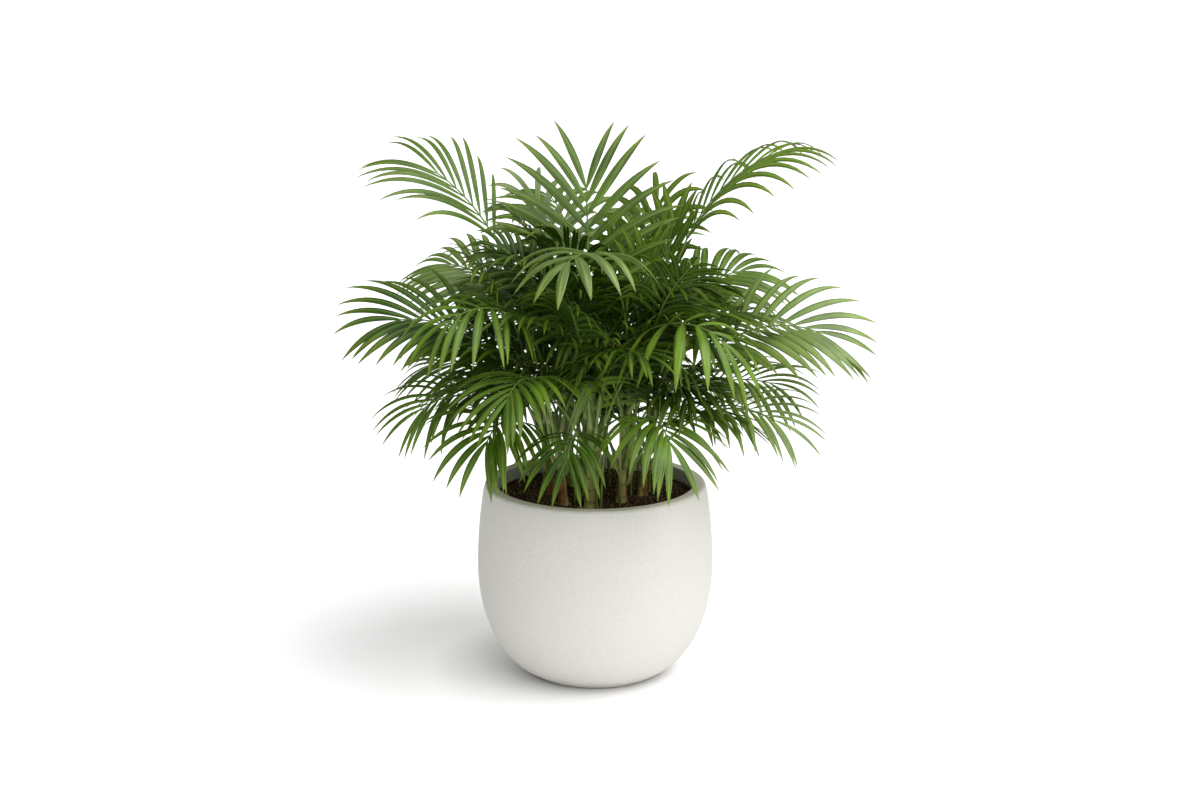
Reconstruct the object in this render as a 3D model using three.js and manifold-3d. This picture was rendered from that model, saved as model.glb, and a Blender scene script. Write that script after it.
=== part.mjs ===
// A potted areca palm: a clump of slim canes in a round-bellied pot filled with potting mix, with
// feather fronds that rise from the canes and arch over. Millimetres, +Z up. The origin is the centre of
// the pot's flat underside, and -Y is the side that the clump shows to the room.
import * as THREE from "three";
import { mergeVertices } from "three/addons/utils/BufferGeometryUtils.js";
import Module from "manifold-3d";

const wasm = await Module();
wasm.setup();

// Pot
const POT_HEIGHT = 290;
const FOOT_RADIUS = 98;
const FOOT_CHAMFER = [5.4, 6]; // width and height of the foot's small bevelled edge
const BELLY_RADIUS = 175;
const BELLY_HEIGHT = 165;
const UNDERSIDE_RADIUS = 77; // where the belly's ellipse would meet the ground
const RIM_RADIUS = 164;
const LIP_ROUND = 4;
const OPENING_RADIUS = 146;
const WALL = 12; // wall thickness at the belly
const WALL_THINNING = 0.25; // how fast the thick wall under the rim thins, below the potting mix's surface
const FLOOR = 18; // thickness of the pot's floor
const CORNER = [14, 16]; // width and height of the bevel between the floor and the wall inside
const FLANK_LEVELS = [12, 26, 50, 84, 124, 165, 215, 252]; // heights at which the outside gets a ring
const CAVITY_LEVELS = [FLOOR + CORNER[1], 70, 130, 200]; // and the inside, below the potting mix
const POT_SIDES = 32;
const SOIL_DROP = 20; // how far the potting mix lies below the rim
const SOIL_TOP = POT_HEIGHT - SOIL_DROP;
const CLEARANCE = 0.3; // gap between pieces that touch

// Canes: foot on the soil (x, y), heading of the lean, angle of the lean, length, and radius at the foot
// and at the top
const CANES = {
  front: { foot: [-6, -72], heading: -80, lean: 4, length: 175, radii: [8, 5.2] },
  front_left: { foot: [-46, -52], heading: -150, lean: 7, length: 140, radii: [5.6, 4] },
  front_right: { foot: [38, -42], heading: -40, lean: 6, length: 165, radii: [6.4, 4.6] },
  right: { foot: [70, -4], heading: 0, lean: 8, length: 150, radii: [5.6, 4] },
  left: { foot: [-64, 0], heading: 175, lean: 8, length: 160, radii: [5.6, 4] },
  centre: { foot: [-12, -6], heading: 60, lean: 2, length: 200, radii: [7, 4.8] },
  back_left: { foot: [-36, 46], heading: 125, lean: 7, length: 185, radii: [6, 4.4] },
  back_right: { foot: [40, 48], heading: 50, lean: 7, length: 180, radii: [6, 4.4] },
  back: { foot: [0, 78], heading: 95, lean: 8, length: 150, radii: [5.4, 4] },
};
const CANE_SIDES = 8;
const CANE_RINGS = 6;
const RING_CROWDING = 1.5; // above 1, the rings lie closer together at the flared foot
const CANE_BEND = 1.5; // above 1, a cane leans out more and more towards its top
const FLARE = 0.45; // root flare, as a share of the foot's radius
const FLARE_FADE = 14; // how fast the flare dies away up the cane

// Fronds by storey. rise and fall are the angles above the horizon at the foot and at the tip of the rib.
const STOREYS = {
  top: { rise: 88, fall: 25, petiole: 195, blade: 150, pairs: 8, leaflet: 145, droop: 1 },
  middle: { rise: 68, fall: -16, petiole: 142, blade: 145, pairs: 8, leaflet: 135, droop: 1.1 },
  low: { rise: 55, fall: -36, petiole: 112, blade: 118, pairs: 8, leaflet: 124, droop: 1.2 },
  inner: { rise: 83, fall: 8, petiole: 115, blade: 128, pairs: 8, leaflet: 128, droop: 1 },
};

// Each frond's cane, the share of the cane's length where it leaves, and its heading (0 is +X, 90 is +Y).
// What a frond states after that takes the place of its storey's value. sway turns the heading towards the
// tip, roll turns the blade about the rib, broad widens its leaflets, and a stalked frond has its long stalk
// as a piece of its own.
const FRONDS = [
  { name: "top_centre", storey: "top", cane: "centre", at: 1, heading: 95, rise: 84, fall: 66, petiole: 92,
    blade: 168, pairs: 9, leaflet: 165, broad: 0.92, droop: 0.5 },
  { name: "centre_front", storey: "top", cane: "front_right", at: 0.95, heading: -112, rise: 92, fall: -18,
    petiole: 254, blade: 105, sway: -8, pairs: 6, spread: 74, leaflet: 122, broad: 1.4, droop: 1.7,
    stalked: true },
  { name: "upper_left", storey: "top", cane: "left", at: 0.9, heading: 166, rise: 89, fall: 30,
    petiole: 248, blade: 130, sway: -8, roll: 22, spread: 34, leaflet: 172, broad: 0.9, stalked: true },
  { name: "upper_right", storey: "top", cane: "right", at: 0.9, heading: 7, rise: 95, fall: 24,
    petiole: 250, blade: 176, roll: -8, pairs: 9, spread: 32, leaflet: 160, broad: 0.85, droop: 1.4,
    stalked: true },
  { name: "left_mid", storey: "middle", cane: "left", at: 0.6, heading: 188, fall: -4, petiole: 125,
    blade: 165, sway: 8, pairs: 9, spread: 44, leaflet: 150, roll: 36, droop: 0.9 },
  { name: "left_front", storey: "middle", cane: "front_left", at: 0.9, heading: -132, rise: 89, fall: -30,
    petiole: 178, blade: 125, pairs: 7, sway: -14, roll: 15, spread: 66, broad: 1.25, droop: 2 },
  { name: "right_mid", storey: "middle", cane: "right", at: 0.6, heading: -4, fall: -22, petiole: 155,
    blade: 165, pairs: 8, spread: 48, leaflet: 150, roll: -38, droop: 0.8 },
  { name: "front_right", storey: "middle", cane: "front", at: 0.9, heading: -24, rise: 72, fall: -42,
    petiole: 52, blade: 212, pairs: 9, spread: 120, leaflet: 150, broad: 1.3, roll: -8, droop: 2.2 },
  { name: "low_front_left", storey: "low", cane: "front_left", at: 0.5, heading: -110, rise: 77,
    petiole: 158 },
  { name: "low_left", storey: "low", cane: "left", at: 0.25, heading: -122, rise: 64, fall: -42,
    blade: 110, sway: 10, leaflet: 138, roll: 15 },
  { name: "low_centre", storey: "low", cane: "front", at: 0.3, heading: -106, rise: 66, fall: -48,
    petiole: 95, blade: 85, sway: 10, pairs: 6, leaflet: 112, droop: 1.8 },
  { name: "low_right", storey: "low", cane: "front_right", at: 0.35, heading: -72, rise: 62, fall: -42,
    blade: 115, sway: 4, leaflet: 135, droop: 1.4 },
  { name: "right_low_back", storey: "low", cane: "right", at: 0.3, heading: -28, fall: -26, petiole: 118,
    blade: 128, sway: -6, roll: -20 },
  { name: "left_low_mid", storey: "low", cane: "left", at: 0.35, heading: 208, rise: 60, fall: -30,
    petiole: 126, sway: 12, roll: 20 },
  { name: "left_back_mid", storey: "low", cane: "back_left", at: 0.45, heading: 168, rise: 48, fall: -18,
    petiole: 124, sway: -10, roll: 25 },
  { name: "upper_left_mid", storey: "middle", cane: "back_left", at: 0.8, heading: 158, fall: 2,
    petiole: 138, blade: 132, sway: -8, roll: 25 },
  { name: "right_upper_mid", storey: "middle", cane: "back_right", at: 0.75, heading: 22, rise: 70, fall: 2,
    blade: 128, sway: 6, roll: -25 },
  { name: "right_low_mid", storey: "low", cane: "back_right", at: 0.4, heading: -18, rise: 44, fall: -8,
    petiole: 140, sway: -14, roll: -25 },
  { name: "back_right_top", storey: "top", cane: "back_right", at: 0.97, heading: 52, fall: 62,
    petiole: 104, blade: 142, pairs: 7, leaflet: 124 },
  { name: "back_left_top", storey: "top", cane: "back_left", at: 0.97, heading: 128, fall: 62,
    petiole: 104, blade: 142, pairs: 7, leaflet: 124 },
  { name: "back_top_left", storey: "top", cane: "back", at: 0.9, heading: 112, rise: 84, fall: 14 },
  { name: "back_top_right", storey: "top", cane: "back", at: 0.75, heading: 66, rise: 82, fall: 10 },
  { name: "back_mid_far_left", storey: "middle", cane: "back_left", at: 0.65, heading: 146 },
  { name: "back_mid_left", storey: "middle", cane: "back_left", at: 0.55, heading: 118 },
  { name: "back_mid_centre", storey: "middle", cane: "back", at: 0.55, heading: 90, petiole: 162 },
  { name: "back_mid_right", storey: "middle", cane: "back_right", at: 0.6, heading: 62 },
  { name: "back_mid_far_right", storey: "middle", cane: "back_right", at: 0.5, heading: 34 },
  { name: "back_low_far_left", storey: "low", cane: "back_left", at: 0.3, heading: 158 },
  { name: "back_low_left", storey: "low", cane: "back_left", at: 0.25, heading: 126 },
  { name: "back_low_centre", storey: "low", cane: "back", at: 0.3, heading: 98 },
  { name: "back_low_right", storey: "low", cane: "back", at: 0.2, heading: 70 },
  { name: "back_low_far_right", storey: "low", cane: "back_right", at: 0.25, heading: 44 },
  { name: "inner_left_front", storey: "inner", cane: "centre", at: 0.85, heading: -140, fall: 20 },
  { name: "inner_right_front", storey: "inner", cane: "centre", at: 0.7, heading: -30, petiole: 122 },
  { name: "inner_left_back", storey: "inner", cane: "centre", at: 0.6, heading: 150, petiole: 122 },
  { name: "inner_right_back", storey: "inner", cane: "centre", at: 0.5, heading: 40, petiole: 122 },
  { name: "inner_left", storey: "inner", cane: "front", at: 0.8, heading: -150, fall: 0, petiole: 92 },
  { name: "inner_far_left", storey: "inner", cane: "front_left", at: 0.7, heading: -170, fall: -10,
    petiole: 92 },
  { name: "inner_far_right", storey: "inner", cane: "front_right", at: 0.7, heading: 10, fall: -10 },
  { name: "inner_front", storey: "inner", cane: "front", at: 0.6, heading: -60, fall: -5, petiole: 92 },
  { name: "inner_low_left", storey: "inner", cane: "left", at: 0.45, heading: -140, rise: 74, fall: -24,
    petiole: 85, blade: 110 },
  { name: "inner_low_right", storey: "inner", cane: "right", at: 0.4, heading: -60, rise: 74, fall: -20,
    petiole: 95, blade: 110 },
  { name: "inner_low_front", storey: "inner", cane: "front_right", at: 0.2, heading: -10, rise: 70,
    fall: -20, petiole: 90, blade: 110 },
  { name: "inner_low_back", storey: "inner", cane: "centre", at: 0.3, heading: 100, rise: 74, fall: -10,
    petiole: 120, blade: 115 },
  { name: "inner_right", storey: "inner", cane: "right", at: 0.8, heading: -60, rise: 78, fall: -8,
    petiole: 100, blade: 120 },
  { name: "inner_low_centre", storey: "inner", cane: "centre", at: 0.2, heading: -100, rise: 80, fall: 10,
    petiole: 95, blade: 115 },
];

// Ribs
const RIB_STEPS = 40; // steps in which a rib's curve is followed
const BEND = 1.6; // above 1, a rib stays straight low down and arches towards its tip
const CLASP = 0.12; // share of the rib in which it still runs along its cane
const CLASP_SPREAD = 0.12; // how far it leans out from the cane there
const RIB_FOOT = 2.8; // half width of the rib at its foot and at its tip
const RIB_TIP = 0.9;
const RIB_TAPER = 0.8; // below 1, a rib thins sooner near its foot
const SHEATH = 1.4; // how much wider the rib's foot is where it clasps the cane
const SHEATH_LENGTH = 12;
const PETIOLE_STATIONS = [0, 0.12, 0.3, 0.52, 0.76]; // shares of the petiole that get a ring
const RIB_END = 3; // the rib's bare tip beyond its last pair of leaflets
const NUDGE = 4; // a rib is turned by this much, left and right by turns, until it passes beside the others
const MOST_NUDGES = 20;
const RIB_GAP = 1;
const SAMPLE = 3; // spacing of the points at which two ribs are compared
const SEATED = 30; // length of rib that may lie close along its own cane
const SECTION = [[0, 1], [-0.87, -0.5], [0.87, -0.5]]; // a rib's ridge, left and right corner, in half widths
const STALK_CUT = 6; // how far below its lowest leaflets a stalked frond is cut
const ROLL_START = 0.4; // share of the petiole from which a turned blade's rib starts to turn

// Leaflets
const SPREAD_FOOT = 54; // angle between a leaflet and the rib at the blade's foot, and at its tip
const SPREAD_TIP = 18;
const SPREAD_CLOSING = 2; // above 1, only the last leaflets close in towards the tip
const LIFT = 12; // how far the leaflets stand up from the blade's plane
const TWIST = 8; // how far a leaflet's front edge is turned up, so that it passes over the next one
const LENGTHS = [[0, 0.8], [0.3, 1], [0.7, 0.95], [1, 0.72]]; // leaflet length along the blade
const LEAFLET_WIDTH = 12.5; // of a leaflet 140 long
const WIDTH_AT = 140;
const THICKNESS = 0.016; // as a share of the length
const WIDEST = 0.42; // where a leaflet is widest
const LEAFLET_STEPS = 8; // steps in which a leaflet's curve is followed
const DROOP_BEND = 1.5; // above 1, a leaflet stays straight at first and droops towards its tip
const ROOT_FOOT = 5; // length of rib that a leaflet takes up at the blade's foot, and at its tip
const ROOT_TIP = 3;
const LEAFLET_GAP = 0.35;
const SEARCH = 1; // distance within which two pieces are measured against each other
const SPREAD_JITTER = 7; // how much leaflets differ in angle, and in length as a share
const LENGTH_JITTER = 0.12;
const TRIES = [[0, 1], [7, 1], [-7, 1], [14, 0.95], [-14, 0.95], [7, 0.8], [-7, 0.8], [20, 0.8], [-20, 0.8],
  [0, 0.65], [12, 0.62], [-12, 0.62], [0, 0.48], [25, 0.48], [-25, 0.48]]; // turn and share of length tried

const RANDOM = { seed: 7919, multiplier: 16807, modulus: 2147483647 };

const FINISHES = {
  pot: { color: 0xe2e0da, roughness: 0.75 },
  soil: { color: 0x2b1c12, roughness: 0.95 },
  cane: { color: 0x8a8a52, roughness: 0.55 },
  frond: { color: 0x4f7d2c, roughness: 0.45 },
};

const radians = THREE.MathUtils.degToRad;
const lerp = THREE.MathUtils.lerp;
const UP = new THREE.Vector3(0, 0, 1);

// A value read off a line of [place, value] points.
function along(points, x) {
  const next = points.findIndex(([place]) => place >= x);
  if (next <= 0) return points[Math.max(next, 0)][1];
  const [[x0, y0], [x1, y1]] = [points[next - 1], points[next]];
  return lerp(y0, y1, (x - x0) / (x1 - x0));
}

function heading(degrees) {
  return new THREE.Vector3(Math.cos(radians(degrees)), Math.sin(radians(degrees)), 0);
}

function pointing(degrees, rise) {
  return heading(degrees)
    .multiplyScalar(Math.cos(radians(rise)))
    .setZ(Math.sin(radians(rise)));
}

// Pot and soil

function flankRadius(z) {
  if (z < BELLY_HEIGHT) {
    const share = (BELLY_HEIGHT - z) / BELLY_HEIGHT;
    return lerp(UNDERSIDE_RADIUS, BELLY_RADIUS, Math.sqrt(1 - share * share));
  }
  const share = (z - BELLY_HEIGHT) / (POT_HEIGHT - BELLY_HEIGHT);
  return lerp(BELLY_RADIUS, RIM_RADIUS, share * share);
}

function cavityRadius(z) {
  return Math.min(flankRadius(z) - WALL, OPENING_RADIUS + WALL_THINNING * (SOIL_TOP - z));
}

function lathe(profile) {
  const points = profile.map(([r, z]) => new THREE.Vector2(r, z));
  const geometry = new THREE.LatheGeometry(points, POT_SIDES);
  geometry.rotateX(Math.PI / 2); // the lathe turns about Y
  return geometry;
}

function potGeometry() {
  const [footWidth, footHeight] = FOOT_CHAMFER;
  const cornerLevel = FLOOR + CORNER[1];
  return lathe([
    [0, 0],
    [FOOT_RADIUS, 0],
    [FOOT_RADIUS + footWidth, footHeight],
    ...[...FLANK_LEVELS, POT_HEIGHT - LIP_ROUND].map((z) => [flankRadius(z), z]),
    [RIM_RADIUS - LIP_ROUND, POT_HEIGHT],
    [OPENING_RADIUS, POT_HEIGHT],
    ...[...CAVITY_LEVELS, SOIL_TOP].reverse().map((z) => [cavityRadius(z), z]),
    [cavityRadius(cornerLevel) - CORNER[0], FLOOR],
    [0, FLOOR],
  ]);
}

function soilGeometry() {
  const cornerLevel = FLOOR + CORNER[1];
  return lathe([
    [0, FLOOR + CLEARANCE],
    [cavityRadius(cornerLevel) - CORNER[0] - CLEARANCE, FLOOR + CLEARANCE],
    ...[...CAVITY_LEVELS, SOIL_TOP].map((z) => [cavityRadius(z) - CLEARANCE, z]),
    [0, SOIL_TOP],
  ]);
}

// Canes

function caneRadius(cane, share) {
  const [foot, top] = cane.radii;
  return lerp(foot, top, share) + foot * FLARE * Math.exp(-FLARE_FADE * share);
}

function canePoint(cane, share) {
  const out = cane.length * Math.tan(radians(cane.lean));
  const away = heading(cane.heading);
  return {
    point: new THREE.Vector3(...cane.foot, SOIL_TOP + CLEARANCE + cane.length * share)
      .addScaledVector(away, out * share ** CANE_BEND),
    direction: away.multiplyScalar(out * CANE_BEND * share ** (CANE_BEND - 1)).setZ(cane.length).normalize(),
    radius: caneRadius(cane, share),
  };
}

function caneGeometry(cane) {
  const rings = [];
  for (let i = 0; i < CANE_RINGS; i++) {
    const { point, radius } = canePoint(cane, (i / (CANE_RINGS - 1)) ** RING_CROWDING);
    const ring = [];
    for (let k = 0; k < CANE_SIDES; k++)
      ring.push(point.clone().addScaledVector(heading((360 * k) / CANE_SIDES), radius));
    rings.push(ring);
  }
  const soup = [];
  const face = (...corners) => soup.push(...corners.flatMap((c) => c.toArray()));
  for (let i = 1; i < rings.length; i++)
    for (let k = 0; k < CANE_SIDES; k++) {
      const next = (k + 1) % CANE_SIDES;
      face(rings[i - 1][k], rings[i - 1][next], rings[i][next]);
      face(rings[i - 1][k], rings[i][next], rings[i][k]);
    }
  for (let k = 1; k < CANE_SIDES - 1; k++) {
    face(rings[0][0], rings[0][k + 1], rings[0][k]);
    face(rings.at(-1)[0], rings.at(-1)[k], rings.at(-1)[k + 1]);
  }
  return soupGeometry(soup);
}

function soupGeometry(soup) {
  return new THREE.BufferGeometry().setAttribute("position", new THREE.Float32BufferAttribute(soup, 3));
}

// Fronds

// The rib's curve: it clasps its cane, rises, and arches over towards its tip.
function ribCurve(frond, turn) {
  const cane = CANES[frond.cane];
  const { point, direction, radius } = canePoint(cane, Math.min(frond.at, 1));
  const length = frond.petiole + frond.blade;
  const away = heading(frond.heading + turn);
  const start = frond.at >= 1
    ? point.clone().addScaledVector(direction, CLEARANCE)
    : point.clone().addScaledVector(away, radius + CLEARANCE + RIB_FOOT + SHEATH);
  const clasping = direction.clone();
  if (frond.at < 1) clasping.addScaledVector(away, CLASP_SPREAD).normalize();
  const points = [start];
  for (let i = 0; i < RIB_STEPS; i++) {
    const share = (i + 0.5) / RIB_STEPS;
    const free = pointing(frond.heading + turn + frond.sway * share * share,
      lerp(frond.rise, frond.fall, share ** BEND));
    const hold = Math.max(0, 1 - share / CLASP) ** 2;
    const step = free.lerp(clasping, hold).normalize();
    points.push(points.at(-1).clone().addScaledVector(step, length / RIB_STEPS));
  }
  return { points, length };
}

function ribRadius(curve, distance) {
  const taper = lerp(RIB_FOOT, RIB_TIP, (distance / curve.length) ** RIB_TAPER);
  return taper + SHEATH * Math.exp(-distance / SHEATH_LENGTH);
}

function ribPoint(curve, distance) {
  const place = THREE.MathUtils.clamp((distance / curve.length) * RIB_STEPS, 0, RIB_STEPS - 1e-9);
  const i = Math.floor(place);
  const [a, b] = [curve.points[i], curve.points[i + 1]];
  return { point: a.clone().lerp(b, place - i), tangent: b.clone().sub(a).normalize() };
}

// Position, tangent, and the blade's side and upward directions at a distance along the rib.
function ribFrame(frond, curve, distance) {
  const { point, tangent } = ribPoint(curve, distance);
  const share = distance / curve.length;
  const facing = radians(frond.heading + frond.turn + frond.sway * share * share);
  const side = new THREE.Vector3(Math.sin(facing), -Math.cos(facing), 0);
  side.addScaledVector(tangent, -side.dot(tangent)).normalize();
  const upward = side.clone().cross(tangent);
  const roll = radians(frond.roll) * THREE.MathUtils.smoothstep(distance / frond.petiole, ROLL_START, 1);
  const rolledSide = side.clone().multiplyScalar(Math.cos(roll)).addScaledVector(upward, Math.sin(roll));
  const rolledUp = upward.multiplyScalar(Math.cos(roll)).addScaledVector(side, -Math.sin(roll));
  return { point, tangent, side: rolledSide, upward: rolledUp };
}

function samples(curve) {
  const found = [];
  for (let d = 0; d <= curve.length; d += SAMPLE) {
    found.push([ribPoint(curve, d).point, ribRadius(curve, d)]);
  }
  return found;
}

function caneSamples(cane) {
  const found = [];
  for (let d = 0; d <= cane.length; d += SAMPLE) {
    const { point, radius } = canePoint(cane, d / cane.length);
    found.push([point, radius]);
  }
  return found;
}

function clear(mine, others) {
  return mine.every(([p, r]) => others.every(([q, s]) => p.distanceTo(q) > r + s + RIB_GAP));
}

// Every rib's curve, each turned a little where it would run into one that is already placed.
function placeRibs() {
  const canes = Object.entries(CANES).map(([name, cane]) => ({ name, points: caneSamples(cane) }));
  const placed = [];
  return FRONDS.map((row) => {
    const frond = { sway: 0, roll: 0, spread: SPREAD_FOOT, broad: 1, ...STOREYS[row.storey], ...row };
    const otherCanes = canes.filter(({ name }) => name !== frond.cane).flatMap(({ points }) => points);
    const ownCane = canes.find(({ name }) => name === frond.cane).points;
    for (let i = 0; i <= MOST_NUDGES; i++) {
      const turn = NUDGE * Math.ceil(i / 2) * (i % 2 ? 1 : -1);
      const curve = ribCurve(frond, turn);
      const points = samples(curve);
      const free = points.slice(Math.ceil(SEATED / SAMPLE));
      if (clear(points, otherCanes) && clear(points, placed) && clear(free, ownCane)) {
        placed.push(...points);
        return { ...frond, turn, curve };
      }
    }
    throw new Error("no room for the rib of frond_" + frond.name);
  });
}

// The distances along the rib of the petiole's rings.
function petioleStations(frond) {
  return PETIOLE_STATIONS.map((share) => ({ distance: share * frond.petiole }));
}

// The distances along the rib of the blade's rings, two for each pair of leaflets.
function bladeStations(frond) {
  const stations = [];
  for (let k = 0; k < frond.pairs; k++) {
    const share = k / (frond.pairs - 1);
    const root = lerp(ROOT_FOOT, ROOT_TIP, share);
    const middle = frond.petiole + share * (frond.blade - RIB_END - root / 2);
    stations.push({ distance: middle - root / 2 }, { distance: middle + root / 2, pair: k, share, middle });
  }
  return stations;
}

function ribRing(frond, distance) {
  const { point, side, upward } = ribFrame(frond, frond.curve, distance);
  const radius = ribRadius(frond.curve, distance);
  return SECTION.map(([across, up]) =>
    point.clone().addScaledVector(side, across * radius).addScaledVector(upward, up * radius));
}

// A leaflet's widest cross-section and its tip. hand is 1 on the blade's right side and -1 on its left.
function leafletPoints(frond, station, hand, swing, share, jitter) {
  const { point, tangent, side, upward } = ribFrame(frond, frond.curve, station.middle);
  const open = lerp(frond.spread, SPREAD_TIP, station.share ** SPREAD_CLOSING);
  const spread = radians(open + jitter.spread);
  const lift = radians(LIFT + swing);
  const outward = side.clone().multiplyScalar(hand * Math.cos(lift)).addScaledVector(upward, Math.sin(lift));
  const first = tangent.clone().multiplyScalar(Math.cos(spread)).addScaledVector(outward, Math.sin(spread));
  const length = frond.leaflet * along(LENGTHS, station.share) * share * jitter.length;
  let place = point.clone();
  let widest = null;
  let course = null;
  for (let i = 0; i < LEAFLET_STEPS; i++) {
    const gone = (i + 0.5) / LEAFLET_STEPS;
    const step = first.clone().addScaledVector(UP, -frond.droop * gone ** DROOP_BEND).normalize();
    const next = place.clone().addScaledVector(step, length / LEAFLET_STEPS);
    if ((i + 1) / LEAFLET_STEPS >= WIDEST && !widest) {
      widest = place.clone().lerp(next, WIDEST * LEAFLET_STEPS - i);
      course = step;
    }
    place = next;
  }
  const forward = tangent.clone().addScaledVector(course, -tangent.dot(course)).normalize();
  const breadth = forward.clone().applyAxisAngle(course, hand * radians(TWIST));
  const flat = course.clone().cross(breadth).multiplyScalar(hand);
  const width = frond.broad * LEAFLET_WIDTH * Math.sqrt(length / WIDTH_AT);
  const rear = widest.clone().addScaledVector(breadth, -width / 2);
  const front = widest.clone().addScaledVector(breadth, width / 2);
  const keel = widest.clone().addScaledVector(flat, -Math.max(length, WIDTH_AT / 2) * THICKNESS);
  return { rear, front, keel, tip: place };
}

// The faces that carry a leaflet from the three corners of its root to its tip.
function leafletFaces(root, ring, tip) {
  const faces = [];
  for (let i = 0; i < 3; i++) {
    const j = (i + 1) % 3;
    faces.push([root[i], root[j], ring[j]], [root[i], ring[j], ring[i]], [ring[i], ring[j], tip]);
  }
  return faces;
}

function solidOf(geometry) {
  const bare = geometry.index ? geometry.toNonIndexed() : geometry.clone();
  bare.deleteAttribute("normal");
  bare.deleteAttribute("uv");
  const merged = mergeVertices(bare, 1e-3);
  return new wasm.Manifold(new wasm.Mesh({
    numProp: 3,
    vertProperties: merged.attributes.position.array,
    triVerts: new Uint32Array(merged.index.array),
  }));
}

function solidOfFaces(faces) {
  return solidOf(soupGeometry(faces.flat().flatMap((corner) => corner.toArray())));
}

function boxesMeet(a, b) {
  return [0, 1, 2].every((i) => a.min[i] - SEARCH < b.max[i] && b.min[i] - SEARCH < a.max[i]);
}

// Small repeatable differences from leaflet to leaflet, seeded by the frond's place in the list.
function jitterOf(seed) {
  let state = seed * RANDOM.seed;
  const draw = () => {
    state = (state * RANDOM.multiplier) % RANDOM.modulus;
    return state / RANDOM.modulus - 0.5;
  };
  return () => ({ spread: SPREAD_JITTER * draw(), length: 1 + LENGTH_JITTER * draw() });
}

// The faces of a stretch of rib, which ends flat, or in a point where the tip is given. The left leaflet of a
// pair grows out of one half of the left skin, where grow gives one, and the right leaflet out of the right.
function ribFaces(frond, stations, grow, tip) {
  const rings = stations.map(({ distance }) => ribRing(frond, distance));
  const roots = [];
  let faces = [rings[0]];
  for (let s = 1; s < rings.length; s++) {
    const [a, c] = [rings[s - 1], rings[s]];
    for (const [i, j] of [[0, 1], [1, 2], [2, 0]]) faces.push([a[i], c[i], c[j]], [a[i], c[j], a[j]]);
    const skins = faces.slice(-6);
    if ("pair" in stations[s]) roots.push([stations[s], -1, skins[0]], [stations[s], 1, skins[5]]);
  }
  const last = rings.at(-1);
  if (tip) faces.push([last[0], tip, last[1]], [last[1], tip, last[2]], [last[2], tip, last[0]]);
  else faces.push([last[2], last[1], last[0]]);
  for (const [station, hand, skin] of roots) {
    const others = faces.filter((face) => face !== skin);
    faces = [...others, ...(grow(station, hand, skin, others) ?? [skin])];
  }
  return faces;
}

// The stretches of rib that a frond is made of. A stalked one is cut where its long stalk bends over into
// the blade.
function stretchesOf(frond) {
  const { point: tip } = ribPoint(frond.curve, frond.curve.length);
  const [stalk, blade] = [petioleStations(frond), bladeStations(frond)];
  if (!frond.stalked) return [{ name: "frond_" + frond.name, stations: [...stalk, ...blade], tip }];
  const cut = blade[0].distance - STALK_CUT;
  return [
    { name: "stalk_" + frond.name, stations: [...stalk, { distance: cut }] },
    { name: "frond_" + frond.name, stations: [{ distance: cut + CLEARANCE }, ...blade], tip },
  ];
}

// Whether an edge of one of the faces runs through one of the others that doesn't share its corners.
function pierce(faces, others) {
  const hit = new THREE.Vector3();
  return faces.some((face) => face.some((from, i) => {
    const to = face[(i + 1) % 3];
    const ray = new THREE.Ray(from, to.clone().sub(from).normalize());
    const reach = from.distanceTo(to);
    return others.some((other) => !other.includes(from) && !other.includes(to)
      && ray.intersectTriangle(...other, false, hit) && hit.distanceTo(from) <= reach);
  }));
}

// The leaflet's faces, or null where every try would touch something that is already there. Its widest ring
// is joined to its root in the first of three ways that runs through nothing of its own frond.
function growLeaflet(frond, station, hand, skin, others, jitter, obstacles) {
  for (const [swing, share] of TRIES) {
    const { rear, front, keel, tip } = leafletPoints(frond, station, hand, swing, share, jitter);
    const ring = hand < 0 ? [rear, front, keel] : [keel, front, rear];
    const ways = ring.map((_, i) => leafletFaces(skin, [...ring.slice(i), ...ring.slice(0, i)], tip));
    const faces = ways.find((way) => !pierce(way, way) && !pierce(way, others) && !pierce(others, way));
    if (!faces) continue;
    const solid = solidOfFaces([...faces, [skin[2], skin[1], skin[0]]]);
    const box = solid.boundingBox();
    const key = frond.name + station.pair;
    const near = obstacles.filter((o) => o.rib !== frond.name && o.key !== key && boxesMeet(o.box, box));
    if (near.every((o) => solid.minGap(o.solid, SEARCH) > LEAFLET_GAP)) {
      obstacles.push({ key, solid, box });
      return faces;
    }
    solid.delete();
  }
  return null;
}

function named(name, geometry, finish) {
  const mesh = new THREE.Mesh(geometry, new THREE.MeshStandardMaterial({ ...finish, metalness: 0 }));
  mesh.name = name;
  return mesh;
}

function makePalm() {
  const palm = new THREE.Group();
  const obstacles = [];
  const block = (key, solid, rib) => obstacles.push({ key, rib, solid, box: solid.boundingBox() });
  const add = (name, geometry, finish) => {
    palm.add(named(name, geometry, finish));
    block(name, solidOf(geometry));
  };
  add("pot", potGeometry(), FINISHES.pot);
  add("soil", soilGeometry(), FINISHES.soil);
  for (const [name, cane] of Object.entries(CANES)) add("cane_" + name, caneGeometry(cane), FINISHES.cane);

  const fronds = placeRibs();
  for (const frond of fronds)
    for (const { name, stations, tip } of stretchesOf(frond))
      block(name, solidOfFaces(ribFaces(frond, stations, () => null, tip)), frond.name);
  fronds.forEach((frond, i) => {
    const jitter = jitterOf(i + 1);
    const grow = (station, hand, skin, others) =>
      growLeaflet(frond, station, hand, skin, others, jitter(), obstacles);
    for (const { name, stations, tip } of stretchesOf(frond)) {
      const soup = ribFaces(frond, stations, grow, tip).flat().flatMap((corner) => corner.toArray());
      palm.add(named(name, soupGeometry(soup), FINISHES.frond));
    }
  });
  return palm;
}

export default makePalm();
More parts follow.
